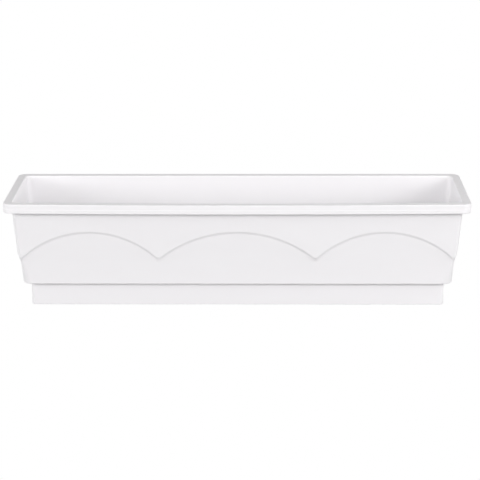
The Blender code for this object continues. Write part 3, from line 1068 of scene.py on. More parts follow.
@dataclass
class BoxShell:
    """The planter box: one white moulding with a rim, a scalloped upper layer and a reservoir plinth."""

    wall: float = 0.0023
    rim_edge: float = 0.0015
    rim_web: float = 0.0026
    skirt_drop: float = 0.0152
    rim_corner: float = 0.0145
    bead_drop: float = 0.0088
    bead_step: float = 0.0003
    wall_set_in: float = 0.0119
    wall_lean: float = 0.077
    panel_depth: float = 0.0017
    upper_corner: float = 0.0065
    knee_corner: float = 0.0062
    lower_corner: float = 0.0155
    lower_set_in: float = 0.0249
    knee_set_in: float = 0.0231
    knee_below: float = 0.008
    valley_height: float = 0.084
    arc_rise: float = 0.0445
    arc_edge: float = 0.0027
    core_inset: float = 0.0265
    tip_inner: float = 0.1245
    tip_outer: float = 0.1300
    tip_round: float = 0.0042
    end_reach: float = 0.0052
    inner_corner: float = 0.0085
    rim_sag: float = 0.0016
    plinth_top: float = 0.0391
    ledge: float = 0.0411
    plinth_set_in: float = 0.0370
    floor: float = 0.0030
    foot_lap: float = 0.0060
    blend_height: float = 0.150
    sag_depth: float = 0.4
    sag_rise: Flat = (0.68, 0.93)
    slope_step: float = 0.0005
    ledge_thick: float = 0.0024
    bore: float = 0.0045
    boss: float = 0.0075
    boss_depth: float = 0.0020
    through: Flat = (-0.01, 0.02)
    bore_sides: int = 40
    arc_steps: int = 40
    end_arc_steps: int = 28
    corner_steps: int = 10
    size: Vector = field(default_factory=Vector)

    def __post_init__(self) -> None:
        """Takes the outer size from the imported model."""
        low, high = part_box("planter_box")
        self.size = high - low
        self.long_core = self.size.x / 2 - self.core_inset
        self.short_core = self.size.y / 2 - self.core_inset
        outer, inner = (self.tip_outer, self.long_core), (-self.tip_inner, self.tip_inner)
        self.long_arcs = [(-outer[1], -outer[0]), inner, outer]
        self.short_arcs = [(-self.short_core - self.end_reach, self.short_core + self.end_reach)]

    def arc_height(self, place: float, start: float, end: float) -> float:
        """Height of one scallop, or of the circle it is cut from where the place is beyond its ends."""
        half = (end - start) / 2
        radius = (half * half + self.arc_rise**2) / (2 * self.arc_rise)
        off = place - (start + end) / 2
        return self.valley_height + self.arc_rise - radius + math.sqrt(radius * radius - off * off)

    def line_height(self, place: float, arcs: Sequence[Flat]) -> float:
        """Height of the scallop line.

        Args:
            place: the place along the wall.
            arcs: the wall's arcs, as (start, end).

        Returns:
            The height; near a valley the line is rounded to a parabola.
        """
        tip_middle = (self.tip_inner + self.tip_outer) / 2
        if len(arcs) > 1 and abs(abs(place) - tip_middle) < self.tip_round:
            edges = [tip_middle + side * self.tip_round for side in (-1, 1)]
            low, high = (self.arc_height(edge, *arc) for edge, arc in zip(edges, arcs[1:]))
            slope = (low - self.arc_height(edges[0] - self.slope_step, *arcs[1])) / self.slope_step
            share = (abs(place) - tip_middle) / self.tip_round
            between = low + (high - low) * (share + 1) / 2
            return between + slope * self.tip_round / 2 * (1 - share * share)
        start, end = min(arcs, key=lambda arc: abs(place - (arc[0] + arc[1]) / 2))
        return self.arc_height(place, start, end)

    def places(self, arcs: Sequence[Flat], steps: int, core: float) -> list[float]:
        """Places along a wall.

        Args:
            arcs: the wall's arcs.
            steps: steps in each arc.
            core: how far the wall's straight part reaches either side of its middle.

        Returns:
            Each arc in equal turns, closer where it is steep, and eight steps across each valley.
        """
        found: list[float] = []
        tip_middle = (self.tip_inner + self.tip_outer) / 2
        valleys = [-tip_middle, tip_middle] if len(arcs) > 1 else []
        for start, end in arcs:
            mid, half = (start + end) / 2, (end - start) / 2
            radius = (half * half + self.arc_rise**2) / (2 * self.arc_rise)
            reach = min(half, core - abs(mid))
            sweep = math.asin(reach / radius)
            turns = [-sweep + 2 * sweep * i / steps for i in range(steps + 1)]
            found += [mid + radius * math.sin(t) for t in turns]
        clear = self.tip_round + self.slope_step
        kept = [x for x in found if all(abs(x - v) > clear for v in valleys)]
        kept += [v + self.tip_round * i / 4 for v in valleys for i in range(-4, 5)]
        return sorted(kept)

    def stations(self) -> list[Station]:
        """Stations round the plan, anticlockwise from the front-left corner.

        Returns:
            The stations.
        """
        found: list[Station] = []
        walls = [
            (self.long_arcs, self.arc_steps, self.long_core, -90.0),
            (self.short_arcs, self.end_arc_steps, self.short_core, 0.0),
            (self.long_arcs, self.arc_steps, self.long_core, 90.0),
            (self.short_arcs, self.end_arc_steps, self.short_core, 180.0),
        ]
        for arcs, steps, core, facing in walls:
            out_x, out_y = round(math.cos(math.radians(facing))), round(math.sin(math.radians(facing)))
            for place in self.places(arcs, steps, core):
                share = max(-1.0, min(1.0, place / core))
                core_x, core_y = (-out_y * share, out_y) if out_x == 0 else (out_x, out_x * share)
                found.append(Station(core_x, core_y, out_x, out_y, self.line_height(share * core, arcs)))
            last = found[-1]
            for step in range(1, self.corner_steps):
                share = step / self.corner_steps
                angle = math.radians(facing + 90.0 * share)
                line = self.corner_line(share if out_x == 0 else 1 - share)
                found.append(Station(last.core_x, last.core_y, math.cos(angle), math.sin(angle), line))
        return found

    def corner_line(self, share: float) -> float:
        """Height of the scallop line in a corner.

        Args:
            share: how far round the corner, from 0 at the long wall to 1 at the end wall.

        Returns:
            The height: the valley's, until the end wall's arc begins.
        """
        beyond = (1 - share) * math.pi / 2 * self.upper_corner
        if beyond >= self.end_reach:
            return self.valley_height
        return self.arc_height(self.short_core + beyond, *self.short_arcs[0])

    def proud(self, height: float) -> float:
        """Set-in of the proud upper layer at a height."""
        return self.wall_set_in + self.wall_lean * (self.size.z - height)

    def level_row(
        self, around: Sequence[Station], set_in: float, corner: float, height: float
    ) -> list[Point]:
        """A level ring of the wall.

        Args:
            around: the stations.
            set_in: how far in from the rim's outer edge.
            corner: the plan's corner radius.
            height: the ring's height.

        Returns:
            Its points.
        """
        core_x = self.size.x / 2 - set_in - corner
        core_y = self.size.y / 2 - set_in - corner
        return [
            (s.core_x * core_x + s.normal_x * corner, s.core_y * core_y + s.normal_y * corner, height)
            for s in around
        ]

    def scallop_row(self, around: Sequence[Station], lift: float, extra: float) -> list[Point]:
        """A ring that follows the scallop line.

        Args:
            around: the stations.
            lift: how far above the line.
            extra: how much further in than the proud layer.

        Returns:
            Its points.
        """
        points: list[Point] = []
        for s in around:
            height = s.line + lift
            radius = self.core_inset - self.proud(height) - extra
            x = s.core_x * self.long_core + s.normal_x * radius
            y = s.core_y * self.short_core + s.normal_y * radius
            points.append((x, y, height))
        return points

    def scallop_rows(self, around: Sequence[Station], inward: float, rising: bool) -> Rings:
        """The rings across the scallop's edge, in an S curve from the lower layer to the proud one.

        Args:
            around: the stations.
            inward: how much further in the whole edge stands: 0 outside, the wall's thickness inside.
            rising: whether the rings come from the bottom up.

        Returns:
            The rings.
        """
        rows = []
        for share in (-1.0, -0.8, -0.45, 0.0, 0.45, 0.8, 1.0):
            eased = eased_share(share, -1.0, 1.0)
            extra = self.panel_depth * (1 - eased) + inward
            rows.append(self.scallop_row(around, share * self.arc_edge, extra))
        return rows if rising else rows[::-1]

    def section_rows(self, around: Sequence[Station], turns: Sequence[Turn], steps: int = 4) -> Rings:
        """The rings of a stretch of wall section whose turns are rounded.

        Args:
            around: the stations.
            turns: the section's turns, in order.
            steps: segments in each rounded turn.

        Returns:
            The rings.
        """
        points = fillet([(t.set_in, t.height, t.radius) for t in turns], steps, closed=False)
        rows: Rings = []
        at = 0
        for number, turn in enumerate(turns):
            rounded = turn.radius > 0 and 0 < number < len(turns) - 1
            for set_in, height in points[at : at + (steps + 1 if rounded else 1)]:
                corner = max(0.0008, turn.corner + (turn.set_in - set_in))
                rows.append(self.level_row(around, set_in, corner, height))
            at += steps + 1 if rounded else 1
        return rows

    def outer_foot(self) -> list[Turn]:
        """The outside from the underside of the plinth up to just under the scallops."""
        knee = self.valley_height - self.knee_below
        foot = self.plinth_set_in
        return [
            Turn(foot + self.foot_lap, 0.0, self.upper_corner - 0.0040),
            Turn(foot, 0.0, self.upper_corner, 0.0009),
            Turn(foot, self.plinth_top, self.upper_corner, 0.0006),
            Turn(self.lower_set_in, self.plinth_top, self.lower_corner, 0.0011),
            Turn(self.knee_set_in, knee, self.knee_corner),
        ]

    def rim(self) -> list[Turn]:
        """The outside from above the scallops, round the skirt and the rim, to the top of the inner skin."""
        top, web, blend = self.size.z, self.size.z - self.rim_web, self.blend_height
        skirt = top - self.skirt_drop
        bead = top - self.bead_drop
        inner = self.wall_set_in + self.wall
        return [
            Turn(self.proud(blend), blend, self.upper_corner),
            Turn(self.proud(web), web, self.upper_corner, 0.0012),
            Turn(self.wall, web, self.rim_corner - self.wall, 0.0008),
            Turn(self.wall, skirt, self.rim_corner - self.wall, 0.0005),
            Turn(0.0, skirt, self.rim_corner, 0.0010),
            Turn(0.0, bead, self.rim_corner, 0.0004),
            Turn(self.bead_step, bead + self.bead_step, self.rim_corner, 0.0006),
            Turn(self.bead_step, top, self.rim_corner, self.rim_edge),
            Turn(inner - 0.0002, top, self.inner_corner, 0.0020),
            Turn(self.proud(blend) + self.wall, blend, self.inner_corner),
        ]

    def inner_foot(self) -> list[Turn]:
        """The inside from just under the scallops down over the ledge to the floor."""
        knee = self.valley_height - self.knee_below
        low_corner = self.lower_corner - self.wall
        reservoir = self.plinth_set_in + self.wall
        return [
            Turn(self.knee_set_in + self.wall, knee, self.knee_corner - self.wall),
            Turn(self.lower_set_in + self.ledge_thick, self.ledge, low_corner, 0.0012),
            Turn(reservoir, self.ledge, self.upper_corner - self.wall, 0.0008),
            Turn(reservoir, self.floor, self.upper_corner - self.wall, 0.0018),
            Turn(reservoir + self.foot_lap, self.floor, self.upper_corner - self.wall - 0.0030),
        ]

    def sagged(self, point: Point) -> Point:
        """A point after the long front rim has sagged a little between its corners."""
        x, y, z = point
        along = 1 - (2 * x / self.size.x) ** 2
        front = eased_share(-y, 0.0, self.size.y * self.sag_depth)
        high = eased_share(z, self.size.z * self.sag_rise[0], self.size.z * self.sag_rise[1])
        return x, y, z - self.rim_sag * along * front * high

    def bores(self) -> list[Flat]:
        """Places of the plug bores, as (x, height), from the plugs' seals."""
        return [(middle(node).x, middle(node).z) for node in ("drain_plug_seal", "overflow_plug_seal")]

    def build(self) -> Piece:
        """Lofts the moulding and drills the plug bores.

        Returns:
            The shell.
        """
        around = self.stations()
        rows = self.section_rows(around, self.outer_foot())
        rows += self.scallop_rows(around, 0.0, rising=True)
        rows += self.section_rows(around, self.rim())
        rows += self.scallop_rows(around, self.wall, rising=False)
        rows += self.section_rows(around, self.inner_foot())
        shell = Piece.from_rows("box_shell", [[self.sagged(p) for p in row] for row in rows])
        inner = self.size.y / 2 - self.plinth_set_in - self.wall
        ends = (inner + self.through[0], inner + self.through[1])
        boss = [
            (self.bore / 2, inner - self.boss_depth, 0.0),
            (self.boss, inner - self.boss_depth, 0.0006),
            (self.boss, inner + self.wall / 2, 0.0),
        ]
        for x, z in self.bores():
            shell.add(spindle("boss", boss, (x, 0.0, z), self.bore_sides, Axis.Y))
            shell.cut(pole("hole", self.bore, ends, (x, 0.0, z), self.bore_sides, Axis.Y))
        return shell

    def dress(self) -> None:
        """Builds the shell and gives it its white finish."""
        self.build().shade(32.0).wear(WHITE_WALL, "planter", "planter_box")


# ---------------------------------------------------------------- the separators


@dataclass
class SeparatorPlate:
    """One false-bottom plate: aeration slots, basket holes, wick slots, ribs and the tube port."""

    node: str
    body: str
    thick: float = 0.0024
    corner: float = 0.0130
    rib_depth: float = 0.0080
    rib_width: float = 0.0020
    rib_length: float = 0.300
    rib_y: float = 0.034
    collar_rise: float = 0.0080
    collar_out: float = 0.0168
    port: float = 0.0143
    port_y: float = -0.0455
    basket_x: float = 0.118
    basket_hole: float = 0.0452
    basket_flange: float = 0.050
    wick_x: float = 0.058
    wick_y: float = 0.014
    wick_slot: Flat = (0.0340, 0.0056)
    air_slot: Flat = (0.0200, 0.0032)
    air_pitch: Flat = (0.0380, 0.0230)
    air_count: tuple[int, int] = (9, 5)
    air_by_basket: float = 0.011
    air_by_port: Flat = (0.012, 0.003)
    air_by_wick: Flat = (0.029, 0.010)
    cross_x: float = 0.0285
    cross_width: float = 0.0016
    web_reach: float = 0.0030
    web_width: float = 0.0014
    web_angles: tuple[float, ...] = (22.5, 67.5, 112.5, 157.5)
    hole_corner: float = 0.004
    over: float = 0.001
    soft: float = 0.0004

    def __post_init__(self) -> None:
        """Takes the plate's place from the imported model."""
        low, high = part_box(self.node)
        self.half = (high - low) / 2
        self.x = (low.x + high.x) / 2
        self.under = low.z + self.rib_depth
        self.top = high.z - self.collar_rise

    def air_slots(self) -> list[Flat]:
        """Places of the aeration slots on their grid, clear of the baskets, the port and the wicks."""
        kept: list[Flat] = []
        columns, lines = self.air_count
        for i in range(columns):
            for j in range(lines):
                x = (i - (columns - 1) / 2) * self.air_pitch[0]
                y = (j - (lines - 1) / 2) * self.air_pitch[1]
                flange, collar = self.basket_flange / 2, self.collar_out
                keep_outs = (
                    (abs(x) - self.basket_x, y, flange + self.air_by_basket, flange),
                    (x, y - self.port_y, collar + self.air_by_port[0], collar + self.air_by_port[1]),
                    (abs(x) - self.wick_x, y - self.wick_y, *self.air_by_wick),
                )
                if not any(abs(u) < long and abs(v) < wide for u, v, long, wide in keep_outs):
                    kept.append((self.x + x, y))
        return kept

    def slot_tools(self) -> Piece:
        """All the round-ended slots as one cutting tool."""
        plans = [(at, round_ended(*self.air_slot, 5)) for at in self.air_slots()]
        wick = round_ended(*self.wick_slot, 5)
        plans += [((self.x + side * self.wick_x, self.wick_y), wick) for side in (-1, 1)]
        hole = rounded_rectangle(self.basket_hole / 2, self.basket_hole / 2, self.hole_corner, 4)
        plans += [((self.x + side * self.basket_x, 0.0), hole) for side in (-1, 1)]
        low, high = self.under - self.over, self.top + self.over
        return Piece.merged("slots", [prism("slot", plan, low, high, at) for at, plan in plans])

    def ribs(self) -> list[Piece]:
        """The stiffening ribs under the plate: two long ones, and short ones across between them."""
        mid = self.under + self.thick / 2
        long, wide, across = self.rib_length / 2, self.rib_width / 2, self.cross_width / 2
        made = []
        for side in (-1, 1):
            y = side * self.rib_y
            low = (self.x - long, y - wide, self.under - self.rib_depth)
            made.append(block("rib", low, (self.x + long, y + wide, mid)))
        for x in (-long + 0.001, -self.cross_x, self.cross_x, long - 0.001):
            low = (self.x + x - across, -self.rib_y, self.under - self.rib_depth * 0.6)
            made.append(block("cross", low, (self.x + x + across, self.rib_y, mid - 0.0002)))
        return made

    def build(self) -> Piece:
        """Builds the plate.

        Returns:
            The plate.
        """
        outline = rounded_rectangle(self.half.x, self.half.y, self.corner, 8)
        plate = prism(self.node + "_plate", outline, self.under, self.top, (self.x, 0.0))
        plate.cut(self.slot_tools())
        for rib in self.ribs():
            plate.add(rib)
        centre = (self.x, self.port_y, 0.0)
        mid = self.under + self.thick / 2
        plate.add(pole("collar", self.collar_out, (mid, self.top + self.collar_rise), centre))
        reach, half, rise = self.collar_out + self.web_reach, self.web_width / 2, self.collar_rise * 0.55
        for degrees in self.web_angles:
            web = block("web", (-reach, -half, mid), (reach, half, self.top + rise))
            web.obj.data.transform(rotation_about(centre, math.radians(degrees)))
            plate.add(web)
        plate.cut(pole("port", self.port, (self.under - 0.01, self.top + 0.02), centre))
        return plate.soften(self.soft, 2, 50.0)

    def dress(self) -> None:
        """Builds the plate and gives it its grey finish."""
        self.build().shade().wear(GREY_PLATE, self.body, self.node)


def rotation_about(centre: Point, angle: float) -> Matrix:
    """A turn about the vertical, in radians, and then a move of the origin to a centre."""
    return Matrix.Translation(centre) @ Matrix.Rotation(angle, 4, "Z")


@dataclass
class SoilBasket:
    """A slotted basket that hangs in its plate by a flange."""

    node: str
    body: str
    wall: float = 0.0018
    mouth: float = 0.044
    foot: float = 0.034
    flange_rise: float = 0.0016
    corner: float = 0.0050
    slot_width: float = 0.0036
    slot_rise: float = 0.0220
    slot_pitch: float = 0.0090
    slot_base: float = 0.0048
    slot_over: float = 0.006
    foot_edge: Flat = (0.0016, 0.0008)

    def __post_init__(self) -> None:
        """Takes the basket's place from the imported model."""
        low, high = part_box(self.node)
        self.low, self.high = low, high
        self.centre = ((low.x + high.x) / 2, (low.y + high.y) / 2)
        self.flange = high.x - low.x

    def ring(self, width: float, height: float) -> list[Point]:
        """A rounded square ring of a given width at a given height."""
        corner = self.corner * width / self.mouth
        plan = rounded_rectangle(width / 2, width / 2, corner, 6)
        return [(self.centre[0] + x, self.centre[1] + y, height) for x, y in plan]

    def slots(self) -> Piece:
        """The slots through the four walls as one cutting tool."""
        tools = []
        x, y = self.centre
        mid = self.low.z + self.slot_base + self.slot_rise / 2
        reach = self.mouth / 2 + self.slot_over
        half = self.slot_width / 2
        section = rounded_rectangle(half, self.slot_rise / 2, half - ROUND_END, 4)
        for number in (-1, 0, 1):
            off = number * self.slot_pitch
            tools.append(bar("slot", section, (x + off, y, mid), (-reach, reach), Axis.Y))
            tools.append(bar("slot", section, (x, y + off, mid), (-reach, reach), Axis.X))
        merged = tools[0]
        for tool in tools[1:]:
            merged.add(tool)
        return merged

    def build(self) -> Piece:
        """Builds the basket.

        Returns:
            The basket.
        """
        seat = self.high.z - self.flange_rise
        thin = 2 * self.wall
        sizes = [
            (self.foot - self.foot_edge[0], self.low.z),
            (self.foot, self.low.z + self.foot_edge[1]),
            (self.mouth, seat),
            (self.flange, seat),
            (self.flange, self.high.z),
            (self.mouth - thin, self.high.z),
            (self.foot - thin, self.low.z + self.wall),
        ]
        basket = Piece.from_rows(self.node + "_body", [self.ring(w, z) for w, z in sizes])
        basket.cut(self.slots())
        return basket.soften(0.00035, 2, 40.0)

    def dress(self) -> None:
        """Builds the basket and gives it its grey finish."""
        self.build().shade().wear(GREY_PLATE, self.body, self.node)


@dataclass
class WickStrip:
    """A fleece strip that lies on the reservoir floor, rises through its slot and lies on the plate."""

    node: str
    body: str
    rests_on: str
    seed: int
    slot_y: float = 0.014
    thick: float = 0.0014
    floor_bend: float = 0.0050
    plate_bend: float = 0.0026
    across: int = 14
    spacing: float = 0.0011
    lie: float = 0.0009
    fray: float = 0.0003
    wave: float = 0.00028
    ripple: float = 0.00012
    waves: float = 17.0
    ripples: float = 2.6
    end_lift: float = 0.0022
    lift_from: float = 0.86
    lift_twist: float = 0.4
    pinned: float = 12.0
    side_gap: float = 0.0002

    def __post_init__(self) -> None:
        """Takes the strip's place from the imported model."""
        self.low, self.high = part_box(self.node)
        self.x = (self.low.x + self.high.x) / 2
        self.width = self.high.x - self.low.x
        self.random = random.Random(self.seed)

    def path(self) -> list[Flat]:
        """The strip's middle line as (y, z), from its end on the floor to its end on the plate."""
        floor, plate = self.low.z + self.lie, self.high.z - self.lie
        turns = [
            (self.low.y, floor, 0.0),
            (self.slot_y, floor, self.floor_bend),
            (self.slot_y, plate, self.plate_bend),
            (self.high.y, plate, 0.0),
        ]
        rough = fillet(turns, 8, closed=False)
        return evenly(rough, self.spacing)

    def sway(self, along: float, side: float) -> float:
        """How far the fleece stands off its middle line: a slow wave, with the free ends a little lifted.

        Args:
            along: share of the strip's length, 0 at the floor end.
            side: from -1 at the left edge to 1 at the right edge.

        Returns:
            The distance in metres.
        """
        wave = math.sin(self.phase + along * self.waves) * self.wave
        wave += math.sin(self.phase * 2 + side * self.ripples) * self.ripple
        free = max(0.0, (along - self.lift_from) / (1 - self.lift_from)) ** 2
        lift = self.end_lift * free * (1 + self.lift_twist * side * math.cos(self.phase))
        return wave * min(1.0, self.pinned * along) + lift

    def build(self) -> Piece:
        """Builds the strip as a thin woven-free sheet with uneven cut edges.

        Returns:
            The strip.
        """
        self.phase = self.random.uniform(0.0, math.tau)
        line = self.path()
        bm = bmesh.new()
        rows = []
        for i, (y, z) in enumerate(line):
            before, after = line[max(i - 1, 0)], line[min(i + 1, len(line) - 1)]
            ahead = Vector((after[0] - before[0], after[1] - before[1])).normalized()
            off = Vector((-ahead.y, ahead.x))
            fray = [self.random.uniform(-self.fray, 0.0) for _ in (0, 1)]
            row = []
            for j in range(self.across + 1):
                side = 2 * j / self.across - 1
                edge = fray[0] if j == 0 else fray[1] if j == self.across else 0.0
                stand = self.sway(i / (len(line) - 1), side)
                x = self.x + side * (self.width / 2 + edge - self.side_gap)
                row.append(bm.verts.new((x, y + off.x * stand, z + off.y * stand)))
            rows.append(row)
        for low, high in zip(rows, rows[1:]):
            for j in range(self.across):
                bm.faces.new((low[j], low[j + 1], high[j + 1], high[j]))
        strip = Piece.from_bmesh(self.node + "_fleece", bm)
        shell = strip.obj.modifiers.new("thickness", "SOLIDIFY")
        shell.thickness = self.thick
        shell.offset = 0.0
        return strip

    def dress(self) -> None:
        strip = self.build()
        length = sum(math.dist(a, b) for a, b in zip(self.path(), self.path()[1:]))
        strip.obj.data.shade_smooth()
        strip.wear(WHITE_FLEECE, self.body, self.node)


def evenly(points: Sequence[Flat], spacing: float) -> list[Flat]:
    """Walks along a line in even steps.

    Args:
        points: the line.
        spacing: about how far apart the new points are.

    Returns:
        The new points, with both ends kept.
    """
    lengths = [0.0]
    for a, b in zip(points, points[1:]):
        lengths.append(lengths[-1] + math.dist(a, b))
    count = max(2, round(lengths[-1] / spacing))
    found: list[Flat] = []
    at = 0
    for step in range(count + 1):
        goal = lengths[-1] * step / count
        while at < len(points) - 2 and lengths[at + 1] < goal:
            at += 1
        run = lengths[at + 1] - lengths[at]
        share = (goal - lengths[at]) / run if run else 0.0
        a, b = points[at], points[at + 1]
        found.append((a[0] + (b[0] - a[0]) * share, a[1] + (b[1] - a[1]) * share))
    return found


# ---------------------------------------------------------------- the tubes


@dataclass
class StandTube:
    """What both tubes share: a foot in the port with inlets, a flange on the collar, and a strainer."""

    node: str
    strainer: str
    body: str
    out: float = 0.0140
    bore: float = 0.0122
    flange: float = 0.0166
    flange_height: float = 0.0521
    flange_thick: float = 0.0020
    notch_width: float = 0.0060
    notch_rise: float = 0.0100
    strainer_thick: float = 0.0030
    inlet_sill: float = 0.001
    inlet_over: float = 0.004
    bead_rise: float = 0.0005
    bead_half: float = 0.0012
    hole: float = 0.0012
    hole_rings: tuple[tuple[float, int], ...] = ((0.0, 1), (0.0040, 6), (0.0078, 12))

    def __post_init__(self) -> None:
        """Takes the tube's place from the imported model."""
        self.low, self.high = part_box(self.node)
        mid = middle(self.node)
        self.centre = (mid.x, mid.y, 0.0)

    def foot(self) -> list[Bend]:
        """The profile of the outside up to above the flange, with a bead at the foot."""
        seat, top = self.flange_height, self.flange_height + self.flange_thick
        return [
            (self.bore, self.low.z, 0.0004),
            (self.out, self.low.z, 0.0006),
            (self.out, seat, 0.0003),
            (self.flange, seat, 0.0004),
            (self.flange, top, 0.0005),
            (self.out, top, 0.0006),
        ]

    def inlets(self) -> Piece:
        """The four inlets round the foot as one cutting tool."""
        low = self.low.z + self.strainer_thick + self.inlet_sill
        half = self.notch_width / 2
        arch = rounded_rectangle(half, self.notch_rise / 2, half - 2 * ROUND_END, 6)
        mid = (*self.centre[:2], low + self.notch_rise / 2)
        reach = self.out + self.inlet_over
        along_x, along_y = (bar("inlet", arch, mid, (-reach, reach), axis) for axis in (Axis.X, Axis.Y))
        return along_x.add(along_y)

    def beads(self, places: Sequence[float]) -> list[Bend]:
        """Profile points of small raised rings on the outside, at the given heights."""
        points: list[Bend] = []
        for z in places:
            points.append((self.out, z - self.bead_half, 0.0004))
            points.append((self.out + self.bead_rise, z, 0.0006))
            points.append((self.out, z + self.bead_half, 0.0004))
        return points

    def dress_strainer(self) -> None:
        """Builds the strainer in the tube's foot: a disc with holes and a chamfered edge."""
        radius, low, high = round_size(self.strainer)
        profile = [
            (radius - 0.0008, low, 0.0002),
            (radius, low + 0.0008, 0.0002),
            (radius, high, 0.0003),
            (radius - 0.0015, high, 0.0003),
            (radius - 0.0018, high - 0.0008, 0.0002),
            (0.0006, high - 0.0008, 0.0),
        ]
        disc = spindle(self.strainer + "_disc", profile, self.centre, 64)
        ends = (low - 0.002, high + 0.002)
        places = [at for ring in self.hole_rings for at in circle_places(self.centre, *ring)]
        holes = Piece.merged("holes", [pole("hole", self.hole, ends, at, 16) for at in places])
        disc.cut(holes).shade().wear(GREY_PLATE, self.body, self.strainer)


@dataclass
class Filler(StandTube):
    """The filler: tube, mouth collar with ears, hinged cap and pin."""

    node: str = "filler_tube"
    strainer: str = "filler_strainer"
    body: str = "left_separator"
    mouth_in: float = 0.0126
    mouth_out: float = 0.0176
    lip: float = 0.0015
    gap: float = 0.0003
    ear_in: float = 0.0046
    ear_out: float = 0.0078
    knuckle: float = 0.0029
    knuckle_half: float = 0.0042
    grips: int = 36
    grip_gap: float = 0.12
    neck_in: float = 0.0006
    beads_at: Flat = (0.085, 0.118)
    seat_drop: float = 0.0010
    lid_thick: float = 0.0024
    lid_over: float = 0.0002
    pin_bore: float = 0.0012
    lid_bore: float = 0.0014
    bore_ends: Flat = (-0.02, 0.02)
    tab: tuple[float, float, float] = (0.0060, 0.0050, 0.0030)
    ridge_half: float = 0.0035
    ridge_width: float = 0.0006
    ridge_pitch: float = 0.0013
    drop_size: float = 0.0044
    drop_long: float = 1.15
    drop_pinch: float = 1.6
    drop_below: Flat = (0.0012, 0.0003)

    def dress_tube(self) -> None:
        """Builds the tube with two stiffening beads."""
        high = self.high.z
        profile = self.foot() + self.beads(self.beads_at)
        profile += [(self.out, high, 0.0006), (self.bore, high, 0.0005)]
        tube = turned("filler_pipe", profile, self.centre)
        tube.cut(self.inlets()).shade().wear(PALE_TUBE, self.body, self.node)

    def dress_collar(self) -> None:
        """Builds the mouth collar: a ring with finger grips and two ears for the pin."""
        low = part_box("filler_collar")[0].z
        pin = middle("filler_cap_pin")
        bore, neck = self.out + self.gap, self.mouth_out - self.neck_in
        top = pin.z - self.seat_drop - self.gap
        profile = [
            (bore, low, 0.0003),
            (neck, low, 0.0005),
            (neck, top - 0.0020, 0.0003),
            (self.mouth_out, top - 0.0016, 0.0003),
            (self.mouth_out, top, 0.0005),
            (self.mouth_in, top, 0.0006),
            (self.mouth_in, top - self.lip, 0.0003),
            (bore, top - self.lip, 0.0002),
        ]
        collar = turned("mouth_collar", profile, self.centre, 96)
        hinge = (self.centre[0], pin.y, pin.z)
        grip = [
            (0.0002, low + 0.0006, 0.0),
            (0.0005, low + 0.0010, 0.0),
            (0.0005, top - 0.0021, 0.0),
            (0.0003, top - 0.0017, 0.0),
        ]
        behind = self.centre[1] + neck * (1 - self.grip_gap)
        places = [at for at in circle_places(self.centre, neck, self.grips) if at[1] <= behind]
        collar.add(Piece.merged("grips", [spindle("grip", grip, at, 10) for at in places]))
        for side in (-1, 1):
            near, far = sorted((side * self.ear_in, side * self.ear_out))
            base = (self.centre[0] + near, self.centre[1] + self.mouth_out - 0.0018, top - 0.0040)
            collar.add(block("ear", base, (self.centre[0] + far, pin.y, top - 0.0004)))
            collar.add(pole("boss", self.knuckle, (near, far), hinge, 32, Axis.X))
        collar.cut(pole("pin_bore", self.pin_bore, self.bore_ends, hinge, 24, Axis.X))
        collar.soften(0.00025, 2, 50.0).shade().wear(PALE_CAP, self.body, "filler_collar")

    def dress_cap(self) -> None:
        """Builds the cap: a dished lid with a raised rim, a drop in relief, a finger tab and a knuckle."""
        pin = middle("filler_cap_pin")
        hinge = (self.centre[0], pin.y, pin.z)
        radius = self.mouth_out + self.lid_over
        base = pin.z - self.seat_drop
        top = base + self.lid_thick
        plug = self.mouth_in - 2 * self.gap
        profile = [
            (plug - 0.0024, base - 0.0005, 0.0),
            (plug - 0.0018, base - 0.0020, 0.0003),
            (plug, base - 0.0020, 0.0004),
            (plug, base, 0.0002),
            (radius, base, 0.0004),
            (radius, top, 0.0008),
            (radius - 0.0026, top, 0.0004),
            (radius - 0.0034, top - 0.0007, 0.0005),
        ]
        cap = spindle("filler_lid", profile, self.centre, 96, steps=4)
        x, y = self.centre[0], self.centre[1] - radius
        cap.add(prism("tab", rounded_rectangle(*self.tab, 6), base + 0.0002, top - 0.0002, (x, y)))
        arm = (x - self.knuckle_half, self.centre[1] + radius - 0.0040, base + 0.0003)
        cap.add(block("arm", arm, (x + self.knuckle_half, pin.y, top - 0.0003)))
        cap.add(pole("barrel", self.knuckle, (-self.knuckle_half, self.knuckle_half), hinge, 32, Axis.X))
        cap.add(self.drop(top))
        for number in range(3):
            near = y - 0.0040 + number * self.ridge_pitch
            low = (x - self.ridge_half, near, top - 0.0005)
            cap.add(block("ridge", low, (x + self.ridge_half, near + self.ridge_width, top)))
        cap.cut(pole("bore", self.lid_bore, self.bore_ends, hinge, 24, Axis.X))
        cap.soften(0.0002, 2, 50.0).shade().wear(PALE_CAP, "filler_lid", "filler_cap")

    def drop(self, top: float) -> Piece:
        """A water drop in low relief for the middle of the lid.

        Args:
            top: the height of the lid's rim.

        Returns:
            The drop as a solid.
        """
        plan: list[Flat] = []
        for step in range(32):
            angle = math.tau * step / 32
            pinch = math.sin(angle / 2) ** self.drop_pinch
            across = self.drop_size * math.sin(angle) * pinch
            plan.append((across, self.drop_size * math.cos(angle) * self.drop_long))
        low, high = (top - below for below in self.drop_below)
        return prism("drop", plan[::-1], low, high, self.centre[:2])

    def dress_pin(self) -> None:
        """Builds the hinge pin: a wire with rounded ends."""
        low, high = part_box("filler_cap_pin")
        radius, half = (high.z - low.z) / 2, (high.x - low.x) / 2
        profile = [
            (radius * 0.4, -half, 0.0),
            (radius, -half + 0.0004, 0.0003),
            (radius, half - 0.0004, 0.0003),
            (radius * 0.4, half, 0.0),
        ]
        pin = spindle("hinge_pin", profile, tuple(middle("filler_cap_pin")), 32, Axis.X)
        pin.shade().wear(WIRE, self.body, "filler_cap_pin")

